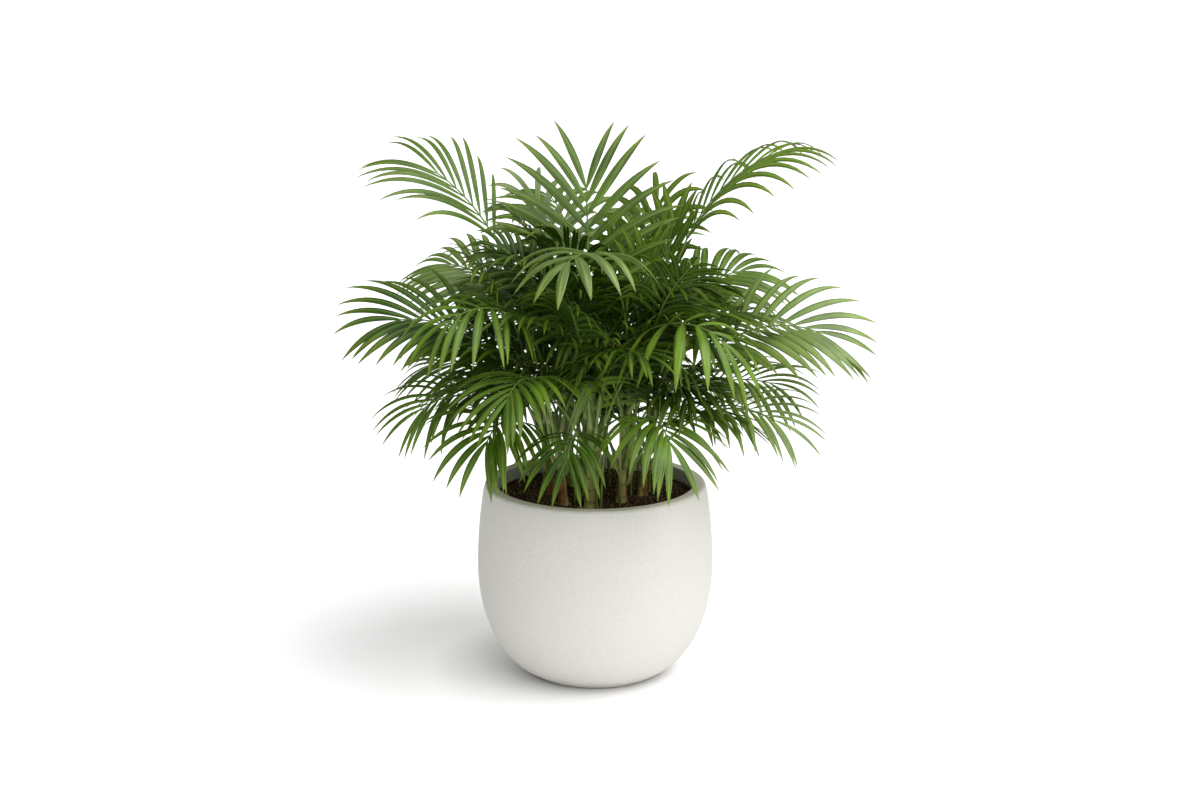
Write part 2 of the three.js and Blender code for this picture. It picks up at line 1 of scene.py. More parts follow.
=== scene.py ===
# %% [markdown]
# # A potted areca palm
#
# This file dresses the plain solids of a potted palm with the surfaces that the real plant shows. The
# solids come from a imported model, the frame. They fix where everything stands: the pot, the potting mix,
# nine canes and forty-six fronds. Nothing here moves them. Each step below makes a finer mesh in the same
# place and hides the solid that it stands for. A few small things have no solid, because a rigid model
# can't
# carry them: crumbs, shoots, dry sheaths, and small fronds that crowd the middle.
#
# Sizes are named in millimetres and scaled to metres once, where a mesh is made. +Z is up, and -Y is the
# side that the plant shows to the room.

# %% Load the frame
import math

import bpy
import numpy as np
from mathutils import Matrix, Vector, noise


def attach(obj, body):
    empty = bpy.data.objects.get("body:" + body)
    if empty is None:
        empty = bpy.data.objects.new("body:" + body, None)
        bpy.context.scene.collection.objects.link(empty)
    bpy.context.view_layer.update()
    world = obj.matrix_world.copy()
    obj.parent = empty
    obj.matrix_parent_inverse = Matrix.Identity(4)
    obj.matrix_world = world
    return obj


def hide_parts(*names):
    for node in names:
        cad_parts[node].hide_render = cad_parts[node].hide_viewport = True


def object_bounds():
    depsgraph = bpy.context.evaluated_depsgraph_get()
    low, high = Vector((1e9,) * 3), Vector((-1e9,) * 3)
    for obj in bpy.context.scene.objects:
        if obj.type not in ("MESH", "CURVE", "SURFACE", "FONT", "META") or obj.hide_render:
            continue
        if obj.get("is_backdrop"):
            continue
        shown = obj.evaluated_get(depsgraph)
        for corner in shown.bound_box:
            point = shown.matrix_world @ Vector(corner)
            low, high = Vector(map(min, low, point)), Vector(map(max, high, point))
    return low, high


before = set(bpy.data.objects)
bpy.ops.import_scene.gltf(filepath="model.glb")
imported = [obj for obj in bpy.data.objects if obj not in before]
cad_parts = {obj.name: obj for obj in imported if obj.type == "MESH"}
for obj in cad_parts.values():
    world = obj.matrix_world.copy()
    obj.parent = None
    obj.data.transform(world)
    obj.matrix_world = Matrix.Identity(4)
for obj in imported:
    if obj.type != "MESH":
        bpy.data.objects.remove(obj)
cad_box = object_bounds()
scene = bpy.context.scene
MM = 0.001
rng = np.random.default_rng(2311)
print("solids:", len(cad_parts), "box:", [tuple(round(x, 3) for x in corner) for corner in cad_box])

# %% [markdown]
# ## A short way to write node trees
#
# Both the materials and the shape rules below are node trees. Written out in full, a tree takes three
# lines for each node. The small class here makes a node, plugs sockets or plain values into it, and
# returns its output, so that a tree reads from top to bottom like a recipe. Its other methods are the
# nodes that come up again and again: a sum, a mix, a change of range, a place, a noise.

# %% Node helper


class Recipe:
    """A node tree that is being written: each call adds a node and returns one of its outputs."""

    def __init__(self, tree):
        self.tree = tree

    def add(self, kind, inputs=(), out=0, **settings):
        node = self.tree.nodes.new(kind)
        for name, value in settings.items():
            setattr(node, name, value)
        pairs = inputs.items() if isinstance(inputs, dict) else enumerate(inputs)
        for key, value in pairs:
            if isinstance(value, bpy.types.NodeSocket):
                self.tree.links.new(value, node.inputs[key])
            else:
                node.inputs[key].default_value = value
        return node.outputs[out]

    def math(self, operation, *values):
        return self.add("ShaderNodeMath", values, operation=operation)

    def mix(self, share, first, second):
        values = {0: share, 6: first, 7: second}
        return self.add("ShaderNodeMix", values, out=2, data_type="RGBA")

    def blend(self, value, low, high, to_low, to_high):
        return self.add("ShaderNodeMapRange", (value, low, high, to_low, to_high))

    def place(self):
        """The point of the surface, in the coordinates of its object."""
        return self.add("ShaderNodeTexCoord", out=3)

    def height(self):
        return self.add("ShaderNodeSeparateXYZ", (self.place(),), out=2)

    def mark(self, name):
        """A value that the mesh carries under a name."""
        return self.add("ShaderNodeAttribute", out=2, attribute_name=name)

    def noise(self, place, scale, detail):
        return self.add("ShaderNodeTexNoise", {"Vector": place, "Scale": scale, "Detail": detail})

    def plug(self, output, node, socket):
        self.tree.links.new(output, node.inputs[socket])


def new_group(name, kind, inputs, outputs):
    """A node group with named inputs and outputs, its recipe, and its two end nodes."""
    tree = bpy.data.node_groups.new(name, kind)
    for label, (socket, value) in inputs.items():
        made = tree.interface.new_socket(label, in_out="INPUT", socket_type=socket)
        if value is not None:
            made.default_value = value
    for label, socket in outputs.items():
        tree.interface.new_socket(label, in_out="OUTPUT", socket_type=socket)
    return tree, Recipe(tree), tree.nodes.new("NodeGroupInput"), tree.nodes.new("NodeGroupOutput")


def srgb(red, green, blue):
    """A colour as an eye names it, from 0 to 255, turned into the linear one that a shader wants."""
    shares = [c / 255 for c in (red, green, blue)]
    return (*[s / 12.92 if s <= 0.04 else ((s + 0.055) / 1.055) ** 2.4 for s in shares], 1)


# %% [markdown]
# ## The sweep
#
# Almost everything on a palm follows a path: a cane, a leaf stalk, the midrib of each leaflet. A curve with
# a bevel could make one of them, but there are about two thousand, each with its own width at each
# place. So one Geometry Nodes tree sweeps a small closed outline along every path of a mesh at once. Each
# point of a path brings its own half width and the direction that counts as up there. The outline starts
# as a circle. Flattened and folded down on both sides, the same circle is the section of a leaflet, with
# its raised midrib.

# %% Sweep tree


def sweep_tree():
    tree, r, given, ends = new_group(
        "Sweep along paths", "GeometryNodeTree",
        {"Paths": ("NodeSocketGeometry", None), "Sides": ("NodeSocketInt", 8),
         "Flatness": ("NodeSocketFloat", 1.0), "Fold": ("NodeSocketFloat", 0.0),
         "Crease": ("NodeSocketFloat", 1.0), "Finish": ("NodeSocketMaterial", None)},
        {"Mesh": "NodeSocketGeometry"})
    circle = r.add("GeometryNodeCurvePrimitiveCircle",
                   {"Resolution": given.outputs["Sides"], "Radius": 1.0})
    place = r.add("GeometryNodeInputPosition").node
    parts = r.add("ShaderNodeSeparateXYZ", (place.outputs[0],)).node
    across, height = parts.outputs[0], parts.outputs[1]
    marked = r.add("GeometryNodeStoreNamedAttribute",
                   {"Geometry": circle, "Name": "across", "Value": across})
    sagged = r.math("MULTIPLY", r.math("ABSOLUTE", across), given.outputs["Fold"])
    flattened = r.math("SUBTRACT", r.math("MULTIPLY", height, given.outputs["Flatness"]), sagged)
    outline = r.add("GeometryNodeSetPosition", {
        "Geometry": marked, "Position": r.add("ShaderNodeCombineXYZ", (across, flattened, 0.0))})

    upward = r.add("GeometryNodeInputNamedAttribute", ("upward",), data_type="FLOAT_VECTOR")
    tangent = r.add("GeometryNodeInputTangent")
    sideways = r.add("ShaderNodeVectorMath", (upward, tangent), operation="CROSS_PRODUCT")
    half_width = r.add("GeometryNodeInputNamedAttribute", ("half_width",), data_type="FLOAT")
    curves = r.add("GeometryNodeMeshToCurve", (given.outputs["Paths"],))
    rolled = r.add("GeometryNodeSetCurveNormal", {"Curve": curves, "Normal": sideways}, mode="FREE")
    swept = r.add("GeometryNodeCurveToMesh",
                  {"Curve": rolled, "Profile Curve": outline, "Scale": half_width, "Fill Caps": True})
    angle = r.add("GeometryNodeInputMeshEdgeAngle")
    sharp = r.add("FunctionNodeCompare", {0: angle, 1: given.outputs["Crease"]}, operation="GREATER_THAN")
    smooth = r.add("GeometryNodeSetShadeSmooth", {"Geometry": swept})
    creased = r.add("GeometryNodeSetShadeSmooth",
                    {"Geometry": smooth, "Selection": sharp, "Shade Smooth": False}, domain="EDGE")
    real = r.add("GeometryNodeRealizeInstances", {"Geometry": creased})
    done = r.add("GeometryNodeSetMaterial", {"Geometry": real, "Material": given.outputs["Finish"]})
    r.plug(done, ends, "Mesh")
    return tree


def run_tree(tree, source, name, inputs):
    """The mesh that a tree makes of a source mesh, as a plain piece with no modifier left on it."""
    carrier = bpy.data.objects.new(name + "_plan", source)
    scene.collection.objects.link(carrier)
    modifier = carrier.modifiers.new(tree.name, "NODES")
    modifier.node_group = tree
    for item in tree.interface.items_tree:
        if item.item_type == "SOCKET" and item.in_out == "INPUT" and item.name in inputs:
            modifier[item.identifier] = inputs[item.name]
    evaluated = carrier.evaluated_get(bpy.context.evaluated_depsgraph_get())
    mesh = bpy.data.meshes.new_from_object(evaluated)
    bpy.data.objects.remove(carrier)
    mesh.name = name
    piece = bpy.data.objects.new(name, mesh)
    scene.collection.objects.link(piece)
    triangles = sum(len(polygon.vertices) - 2 for polygon in mesh.polygons)
    print(name + ":", len(mesh.vertices), "points,", triangles, "triangles")
    return piece


def paths_mesh(name, paths, marks=None):
    """Paths as one mesh of loose edges. A path is its points, half widths and upward directions."""
    points = np.concatenate([p for p, _, _ in paths]) * MM
    starts = np.cumsum([0] + [len(p) for p, _, _ in paths])
    edges = [(i, i + 1) for a, b in zip(starts, starts[1:]) for i in range(a, b - 1)]
    mesh = bpy.data.meshes.new(name)
    mesh.from_pydata(points.tolist(), edges, [])
    along = np.concatenate([np.linspace(0, 1, len(p)) for p, _, _ in paths])
    widths = np.concatenate([w for _, w, _ in paths]) * MM
    upward = np.concatenate([u for _, _, u in paths])
    mark = np.zeros(len(points)) if marks is None else np.concatenate(marks)
    for label, kind, values in (("along", "FLOAT", along), ("half_width", "FLOAT", widths),
                                ("mark", "FLOAT", mark), ("upward", "FLOAT_VECTOR", upward)):
        field = "vector" if kind == "FLOAT_VECTOR" else "value"
        mesh.attributes.new(label, kind, "POINT").data.foreach_set(field, values.astype(np.float32).ravel())
    return mesh


SWEEP = sweep_tree()
print("sweep tree:", len(SWEEP.nodes), "nodes")

# %% [markdown]
# ## Finishes
#
# No surface on a plant or on fired clay has one flat colour. Two things vary in all of them: a soft
# mottle, and how rough the surface is. That pair is one shader group, placed in each material with its own
# colours and scale. Everything reads Object coordinates, so a pattern stays where it is when the camera
# moves.

# %% Mottle group and material helper
GRAIN = (0.3, 0.7)  # the values of a noise between which one colour passes into the other


def mottle_group():
    tree, r, given, ends = new_group(
        "Mottle", "ShaderNodeTree",
        {"Light": ("NodeSocketColor", (0.8, 0.8, 0.8, 1)), "Dark": ("NodeSocketColor", (0.5, 0.5, 0.5, 1)),
         "Scale": ("NodeSocketFloat", 60.0), "Detail": ("NodeSocketFloat", 4.0),
         "Smooth": ("NodeSocketFloat", 0.4), "Rough": ("NodeSocketFloat", 0.6)},
        {"Colour": "NodeSocketColor", "Roughness": "NodeSocketFloat", "Mask": "NodeSocketFloat"})
    grain = r.noise(r.place(), given.outputs["Scale"], given.outputs["Detail"])
    mask = r.blend(grain, *GRAIN, 0.0, 1.0)
    rough = r.blend(grain, *GRAIN, given.outputs["Rough"], given.outputs["Smooth"])
    r.plug(r.mix(mask, given.outputs["Dark"], given.outputs["Light"]), ends, "Colour")
    r.plug(rough, ends, "Roughness")
    r.plug(mask, ends, "Mask")
    return tree


MOTTLE = mottle_group()


def new_material(name, **constants):
    """A material, its recipe and its Principled node, with plain values set on the node's sockets."""
    material = bpy.data.materials.new(name)
    material.use_nodes = True
    shader = material.node_tree.nodes["Principled BSDF"]
    for label, value in constants.items():
        shader.inputs[label.replace("_", " ")].default_value = value
    return material, Recipe(material.node_tree), shader


def mottled(r, shader, light, dark, **inputs):
    """Adds the mottle to a material and plugs in its colour and roughness."""
    node = r.tree.nodes.new("ShaderNodeGroup")
    node.node_tree = MOTTLE
    for label, value in dict(Light=srgb(*light), Dark=srgb(*dark), **inputs).items():
        node.inputs[label].default_value = value
    r.plug(node.outputs["Colour"], shader, "Base Color")
    r.plug(node.outputs["Roughness"], shader, "Roughness")
    return node


def plain_material(name, gloss, light, dark, **inputs):
    """A material that needs nothing but the mottle."""
    material, r, shader = new_material(name, Specular_IOR_Level=gloss)
    mottled(r, shader, light, dark, **inputs)
    return material


def bump(r, shader, height, strength, distance):
    normal = r.add("ShaderNodeBump", {"Height": height, "Strength": strength, "Distance": distance})
    r.plug(normal, shader, "Normal")


print("mottle group:", len(MOTTLE.nodes), "nodes")

# %% [markdown]
# ## The pot
#
# The pot is a round-bellied bowl of thick cast ceramic: a small foot, a curved undercut above it, a belly
# that swells to its widest a little above the middle, and a flat lip with a soft outer edge. It is a turned
# shape, so a lathe does it: one profile, from the middle of the underside out, up, over the lip and back
# down the inside to the middle of the floor. The stretches of the profile are formulas, and the edges that
# catch the light are small arcs. A subdivided cylinder would need many loops to hold those edges.

# %% Pot
POT_HEIGHT = 290
FOOT_EDGE = (104.8, 7.6)  # radius and height at which the foot's undercut meets the belly
HOLLOW = (82, 0.8)  # radius and depth of the shallow hollow in the underside
TREAD = (84, 90)  # the ring that touches the ground, from its inner to its outer radius
BELLY_RADIUS = 175
BELLY_HEIGHT = 165
UNDERSIDE_RADIUS = 77  # where the belly's ellipse would meet the ground
RIM_RADIUS = 164
OPENING_RADIUS = 146
LIP_ROUND = 5
INNER_ROUND = 1.6
WALL = 12
WALL_THINNING = 0.25
SOIL_TOP = POT_HEIGHT - 20
FLOOR = 18
CORNER = (14, 16)  # width and height of the bevel between the floor and the wall inside
POT_SIDES = 192
FOOT_STEPS = 8
FLANK_ROWS = ((12, 150, 28), (156, 280, 18))  # from one height to the other, in so many rows
LIP_ARC, EDGE_ARC = (8, 90, 8), (90, 180, 5)  # from one angle to the other, in so many steps
CAVITY_ROWS = (SOIL_TOP, 40, 20)


def lerp(a, b, share):
    return a + (b - a) * share


def flank_radius(z):
    """The outside radius at a height, or at each of several heights."""
    low = np.clip((BELLY_HEIGHT - z) / BELLY_HEIGHT, 0, 1)
    high = np.clip((z - BELLY_HEIGHT) / (POT_HEIGHT - BELLY_HEIGHT), 0, 1)
    belly = lerp(UNDERSIDE_RADIUS, BELLY_RADIUS, np.sqrt(1 - low * low))
    return belly - (BELLY_RADIUS - RIM_RADIUS) * high * high


def cavity_radius(z):
    return float(min(flank_radius(z) - WALL, OPENING_RADIUS + WALL_THINNING * (SOIL_TOP - z)))


def arc(centre, radius, start, end, steps):
    """Points of an arc in the profile's plane, angles in degrees from the outward direction."""
    turns = [math.radians(lerp(start, end, i / steps)) for i in range(steps + 1)]
    return [(centre[0] + radius * math.cos(t), centre[1] + radius * math.sin(t)) for t in turns]


def lathe(name, profile, sides):
    """A closed turned mesh. The profile starts and ends on the axis."""
    ring = [(math.cos(2 * math.pi * k / sides), math.sin(2 * math.pi * k / sides)) for k in range(sides)]
    rows = profile[1:-1]
    points = [(radius * c, radius * s, z) for radius, z in rows for c, s in ring]
    first, last = len(points), len(points) + 1
    points += [(0, 0, profile[0][1]), (0, 0, profile[-1][1])]
    faces = []
    for i in range(len(rows) - 1):
        for k in range(sides):
            a, b = i * sides + k, i * sides + (k + 1) % sides
            faces.append((a, b, b + sides, a + sides))
    top = (len(rows) - 1) * sides
    for k in range(sides):
        faces.append((first, (k + 1) % sides, k))
        faces.append((last, top + k, top + (k + 1) % sides))
    mesh = bpy.data.meshes.new(name)
    mesh.from_pydata([(x * MM, y * MM, z * MM) for x, y, z in points], [], faces)
    mesh.shade_smooth()
    piece = bpy.data.objects.new(name, mesh)
    scene.collection.objects.link(piece)
    return piece


def pot_profile():
    undercut = np.linspace(0, 1, FOOT_STEPS + 1)
    levels = np.concatenate([np.linspace(*rows) for rows in FLANK_ROWS])
    lip = (RIM_RADIUS - LIP_ROUND, POT_HEIGHT - LIP_ROUND)
    edge = (OPENING_RADIUS + INNER_ROUND, POT_HEIGHT - INNER_ROUND)
    return [
        (0, HOLLOW[1]), HOLLOW, (TREAD[0], 0),
        *[(lerp(TREAD[1], FOOT_EDGE[0], k), FOOT_EDGE[1] * k * k) for k in undercut],
        *[(flank_radius(z), z) for z in levels],
        *arc(lip, LIP_ROUND, *LIP_ARC),
        *arc(edge, INNER_ROUND, *EDGE_ARC),
        *[(cavity_radius(z), z) for z in np.linspace(*CAVITY_ROWS)],
        (cavity_radius(FLOOR + CORNER[1]) - CORNER[0], FLOOR), (0, FLOOR),
    ]


pot = lathe("pot_shell", pot_profile(), POT_SIDES)
print("pot:", len(pot.data.polygons), "faces,", [round(x, 3) for x in pot.dimensions])

# %% [markdown]
# The pot is matte, warm white, and finely speckled, with a scatter of pinholes where air left the clay in
# the kiln. The speckle and the pinholes are under a millimetre, so they belong in the material: a fine
# noise tints the clay, and a Voronoi pattern, cut off close to its cell centres, gives the dots. Only some
# cells get one, which a second pattern decides, because evenly dotted clay looks printed. The top of the
# lip is painted paler and warmer than the flank, picked out by its height. This is painted light, for the
# light that the crown keeps off the lip.

# %% Pot finish
# The lip's paler, warmer tone below is painted light, for the light that the crown keeps off the lip.
LIP_PAINTED_LIGHT = (2.2, 0.4)  # the lip's paler tone starts and is full this far below the top
LIP_PAINTED_LIGHT_COLOUR, PINHOLE_COLOUR = (255, 247, 238), (160, 152, 140)
PINHOLE = (0.1, 0.2)  # how far from the middle of its cell a dot is full, and where it ends
CHOSEN = (0.54, 0.6)  # a cell has no dot where the second pattern is below the first, a full one above
PINHOLE_SHARE = 0.7


def pot_material():
    material, r, shader = new_material("fired_clay", Specular_IOR_Level=0.35)
    node = mottled(r, shader, (219, 217, 211), (206, 204, 197), Scale=620.0, Detail=4.0, Smooth=0.55,
                   Rough=0.75)
    place = r.place()
    cells = r.add("ShaderNodeTexVoronoi", {"Vector": place, "Scale": 230.0, "Randomness": 1.0})
    chosen = r.noise(place, 140.0, 2.0)
    dots = r.math("MULTIPLY", r.blend(cells, *PINHOLE, 1.0, 0.0), r.blend(chosen, *CHOSEN, 0.0, 1.0))
    # Painted light: the top of the lip is made paler and warmer by its height.
    painted_lip_light = r.blend(r.height(), *[(POT_HEIGHT - below) * MM for below in LIP_PAINTED_LIGHT], 0.0, 1.0)
    tint = r.mix(painted_lip_light, node.outputs["Colour"], srgb(*LIP_PAINTED_LIGHT_COLOUR))
    tint = r.mix(r.math("MULTIPLY", dots, PINHOLE_SHARE), tint, srgb(*PINHOLE_COLOUR))
    r.plug(tint, shader, "Base Color")
    swell = r.noise(place, 380.0, 4.0)
    bump(r, shader, r.math("SUBTRACT", swell, r.math("MULTIPLY", dots, 2.0)), 0.25, 0.0004)
    return material


pot.data.materials.append(pot_material())
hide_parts("pot")
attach(pot, "root")
print("pot finish:", len(pot.data.materials[0].node_tree.nodes), "nodes")

# %% [markdown]
# ## The potting mix
#
# Under a clump of canes the mix is never level: water settles it and the roots push it up. Its body comes
# off the same lathe, filled to the level of the solid, with the rows on top pushed up and down by a smooth
# noise. What the eye sees, though, is crumbs.

# %% Soil body
CLEARANCE = 0.3
SOIL_SIDES = 96
SOIL_ROWS = 28
UNEVEN = 4  # how far the top of the mix rises and sinks
HUMPS = 28  # how closely its humps follow each other
EVEN_EDGE = 6  # the higher, the closer to the wall the humps come before they fade


def soil_body():
    outer = cavity_radius(SOIL_TOP) - CLEARANCE
    low = FLOOR + CORNER[1]
    wall = [(cavity_radius(z) - CLEARANCE, z) for z in np.linspace(low, SOIL_TOP - 5, 16)]
    top = [(outer * (1 - i / SOIL_ROWS), SOIL_TOP) for i in range(SOIL_ROWS)]
    bottom = [(0, FLOOR + CLEARANCE), (cavity_radius(low) - CORNER[0] - CLEARANCE, FLOOR + CLEARANCE)]
    piece = lathe("soil_body", [*bottom, *wall, *top, (0, SOIL_TOP)], SOIL_SIDES)
    for vertex in piece.data.vertices:
        if vertex.co.z > (SOIL_TOP - 1) * MM:
            reach = math.hypot(vertex.co.x, vertex.co.y) / (outer * MM)
            vertex.co.z += UNEVEN * MM * (1 - reach ** EVEN_EDGE) * noise.noise(vertex.co * HUMPS)
    return piece


def soil_material(name, light, dark):
    material, r, shader = new_material(name, Specular_IOR_Level=0.3)
    node = mottled(r, shader, light, dark, Scale=260.0, Detail=3.0, Smooth=0.7, Rough=0.95)
    bump(r, shader, node.outputs["Mask"], 0.5, 0.0006)
    return material


soil = soil_body()
soil.data.materials.append(soil_material("damp_mix", (58, 42, 30), (24, 17, 12)))
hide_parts("soil")
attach(soil, "root")
print("soil:", len(soil.data.polygons), "faces")

# %% [markdown]
# The crumbs are thousands of bits of bark and peat, a few millimetres across. Geometry Nodes scatters them
# over the top of the mix: points that keep a set distance apart, a twenty-sided ball on each, turned and
# stretched at random. A particle system would do it as well, but it leaves instances, and what is wanted
# here is one plain mesh. Most crumbs are dark. A second, thinner scatter lays the pale ones among them.

# %% Crumb tree
MOST_CRUMBS = 400000.0  # to a square metre: far more than the distance apart lets through
LEVEL = 0.6  # crumbs lie only where the surface faces up at least this much
STRETCH = ((0.45, 0.55, 0.35), (1.5, 1.3, 1.0))  # the least and the most along X, Y and Z
TURN_SEED, STRETCH_SEED = 3, 5


def crumb_tree():
    tree, r, given, ends = new_group(
        "Crumbs on a surface", "GeometryNodeTree",
        {"Ground": ("NodeSocketGeometry", None), "Apart": ("NodeSocketFloat", 0.003),
         "Size": ("NodeSocketFloat", 0.0018), "Seed": ("NodeSocketInt", 1),
         "Finish": ("NodeSocketMaterial", None)},
        {"Mesh": "NodeSocketGeometry"})
    normal = r.add("GeometryNodeInputNormal")
    facing = r.add("ShaderNodeSeparateXYZ", (normal,), out=2)
    level = r.add("FunctionNodeCompare", {0: facing, 1: LEVEL}, operation="GREATER_THAN")
    points = r.add("GeometryNodeDistributePointsOnFaces",
                   {"Mesh": given.outputs["Ground"], "Selection": level, "Density Max": MOST_CRUMBS,
                    "Distance Min": given.outputs["Apart"], "Seed": given.outputs["Seed"]},
                   distribute_method="POISSON")
    ball = r.add("GeometryNodeMeshIcoSphere", {"Radius": given.outputs["Size"], "Subdivisions": 1})
    turn, stretch = (
        r.add("FunctionNodeRandomValue", {0: least, 1: most, 8: seed}, data_type="FLOAT_VECTOR")
        for least, most, seed in (((0.0,) * 3, (6.3,) * 3, TURN_SEED), (*STRETCH, STRETCH_SEED)))
    laid = r.add("GeometryNodeInstanceOnPoints",
                 {"Points": points, "Instance": ball, "Rotation": turn, "Scale": stretch})
    real = r.add("GeometryNodeRealizeInstances", {"Geometry": laid})
    done = r.add("GeometryNodeSetMaterial", {"Geometry": real, "Material": given.outputs["Finish"]})
    r.plug(done, ends, "Mesh")
    return tree


CRUMBS = crumb_tree()
for label, apart, size, seed, light, dark in (  # distance apart, radius, seed, and the two colours
        ("crumbs_dark", 2.9, 1.9, 4, (88, 64, 45), (35, 24, 16)),
        ("crumbs_pale", 6.5, 1.9, 9, (172, 134, 94), (108, 78, 52))):
    crumbs = run_tree(CRUMBS, soil.data.copy(), label,
                      {"Apart": apart * MM, "Size": size * MM, "Seed": seed,
                       "Finish": soil_material(label + "_mix", light, dark)})
    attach(crumbs, "root")

# %% [markdown]
# ## The canes
#
# An areca palm grows as a clump. Each slim cane flares a little where it leaves the mix, leans outwards,
# and carries rings: the scars of leaves that it has dropped. The nine canes keep the foot, lean, length and
# thickness of their solids. The rings are in the width that the sweep gets, a low collar with a groove
# above it, because a picture of rings on a smooth tube vanishes at its outline.

# %% Directions and canes
UP = np.array([0.0, 0.0, 1.0])
CANES = {
    "front": dict(foot=(-6, -72), heading=-80, lean=4, length=175, radii=(8, 5.2)),
    "front_left": dict(foot=(-46, -52), heading=-150, lean=7, length=140, radii=(5.6, 4)),
    "front_right": dict(foot=(38, -42), heading=-40, lean=6, length=165, radii=(6.4, 4.6)),
    "right": dict(foot=(70, -4), heading=0, lean=8, length=150, radii=(5.6, 4)),
    "left": dict(foot=(-64, 0), heading=175, lean=8, length=160, radii=(5.6, 4)),
    "centre": dict(foot=(-12, -6), heading=60, lean=2, length=200, radii=(7, 4.8)),
    "back_left": dict(foot=(-36, 46), heading=125, lean=7, length=185, radii=(6, 4.4)),
    "back_right": dict(foot=(40, 48), heading=50, lean=7, length=180, radii=(6, 4.4)),
    "back": dict(foot=(0, 78), heading=95, lean=8, length=150, radii=(5.4, 4)),
}
CANE_BEND = 1.5  # above 1, a cane leaves the mix upright and leans more and more
FLARE = 0.45  # how much wider the foot is, as a share of its radius
FLARE_FADE = 14  # how soon the flare is gone
CANE_STEP = 1.5
BURIED = 7  # how far a cane's foot reaches into the mix
RING_APART = 19
RING_COLLAR = 0.55
RING_GROOVE = 0.3
RING_WIDTH = 1.3
RING_FREE = 4  # no ring stands lower than this


def heading(degrees):
    return np.array([math.cos(math.radians(degrees)), math.sin(math.radians(degrees)), 0.0])


def pointing(degrees, rise):
    return heading(degrees) * math.cos(math.radians(rise)) + UP * math.sin(math.radians(rise))


def unit(vectors):
    return vectors / np.linalg.norm(vectors, axis=-1, keepdims=True)


def cane_at(cane, share):
    """The middle, the direction and the radius of a cane at a share of its length."""
    out = cane["length"] * math.tan(math.radians(cane["lean"]))
    away, above = heading(cane["heading"]), max(share, 0)
    foot = np.array([*cane["foot"], SOIL_TOP + CLEARANCE + cane["length"] * share])
    direction = unit(away * out * CANE_BEND * above ** (CANE_BEND - 1) + UP * cane["length"])
    radius = lerp(*cane["radii"], above) + cane["radii"][0] * FLARE * math.exp(-FLARE_FADE * above)
    return foot + away * out * above ** CANE_BEND, direction, radius


def cane_path(cane, first_ring):
    distances = np.arange(-BURIED, cane["length"] + 0.1, CANE_STEP)
    places = [cane_at(cane, d / cane["length"]) for d in distances]
    middle = np.array([p for p, _, _ in places])
    widths = np.array([w for _, _, w in places])
    off = (distances - first_ring + RING_APART / 2) % RING_APART - RING_APART / 2
    collar = np.exp(-(off / RING_WIDTH) ** 2) * (distances > RING_FREE)
    groove = np.exp(-((off - 2 * RING_WIDTH) / RING_WIDTH) ** 2) * (distances > RING_FREE)
    ringed = widths + RING_COLLAR * collar - RING_GROOVE * groove
    return (middle, ringed, np.tile(heading(0), (len(middle), 1))), collar


canes = [cane_path(cane, rng.uniform(2 * RING_FREE, RING_FREE + RING_APART)) for cane in CANES.values()]
print("canes:", len(canes), "paths of", [len(path[0]) for path, _ in canes], "points")

# %% [markdown]
# A cane is straw yellow and dull near the mix, where it is oldest, and green and waxy higher up. That
# change has a place, so it follows the height, and the scars are darker by the mark that their path
# carries. Fine fibres run up the cane: a noise stretched along Z.

# %% Cane finish
GREEN_FROM, GREEN_TO = 280, 360  # heights between which a cane turns from straw yellow to green
SCAR_COLOUR, SCAR_SHARE = (92, 74, 44), 0.6


def cane_material():
    material, r, shader = new_material("cane_skin", Specular_IOR_Level=0.4)
    greener = r.blend(r.height(), GREEN_FROM * MM, GREEN_TO * MM, 0.0, 1.0)
    node = mottled(r, shader, (200, 190, 116), (146, 136, 72), Scale=70.0, Detail=4.0, Smooth=0.42,
                   Rough=0.62)
    green = r.mix(node.outputs["Mask"], srgb(66, 92, 26), srgb(108, 130, 52))
    skin = r.mix(greener, node.outputs["Colour"], green)
    tint = r.mix(r.math("MULTIPLY", r.mark("mark"), SCAR_SHARE), skin, srgb(*SCAR_COLOUR))
    r.plug(tint, shader, "Base Color")
    fibres = r.add("ShaderNodeMapping", {"Vector": r.place(), "Scale": (900.0, 900.0, 40.0)})
    bump(r, shader, r.noise(fibres, 1.0, 2.0), 0.35, 0.0004)
    return material


cane_paths = paths_mesh("cane_paths", [path for path, _ in canes], [mark for _, mark in canes])
cane_piece = run_tree(SWEEP, cane_paths, "canes", {"Sides": 16, "Finish": cane_material()})
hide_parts(*["cane_" + name for name in CANES])
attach(cane_piece, "root")

# %% [markdown]
# ## Where the fronds go
#
# A frond is a long leaf like a feather: a stalk that rises from its cane, a midrib that arches over, and a
# row of leaflets on each side. Every frond has a storey, a cane, a share of the cane's height where it
# leaves, and a heading. From these few numbers comes its curve. The solids were grown by this rule, so the
# finer fronds here grow by the same one and end up in the same space. What a frond states after its first
# five values takes the place of its storey's value.

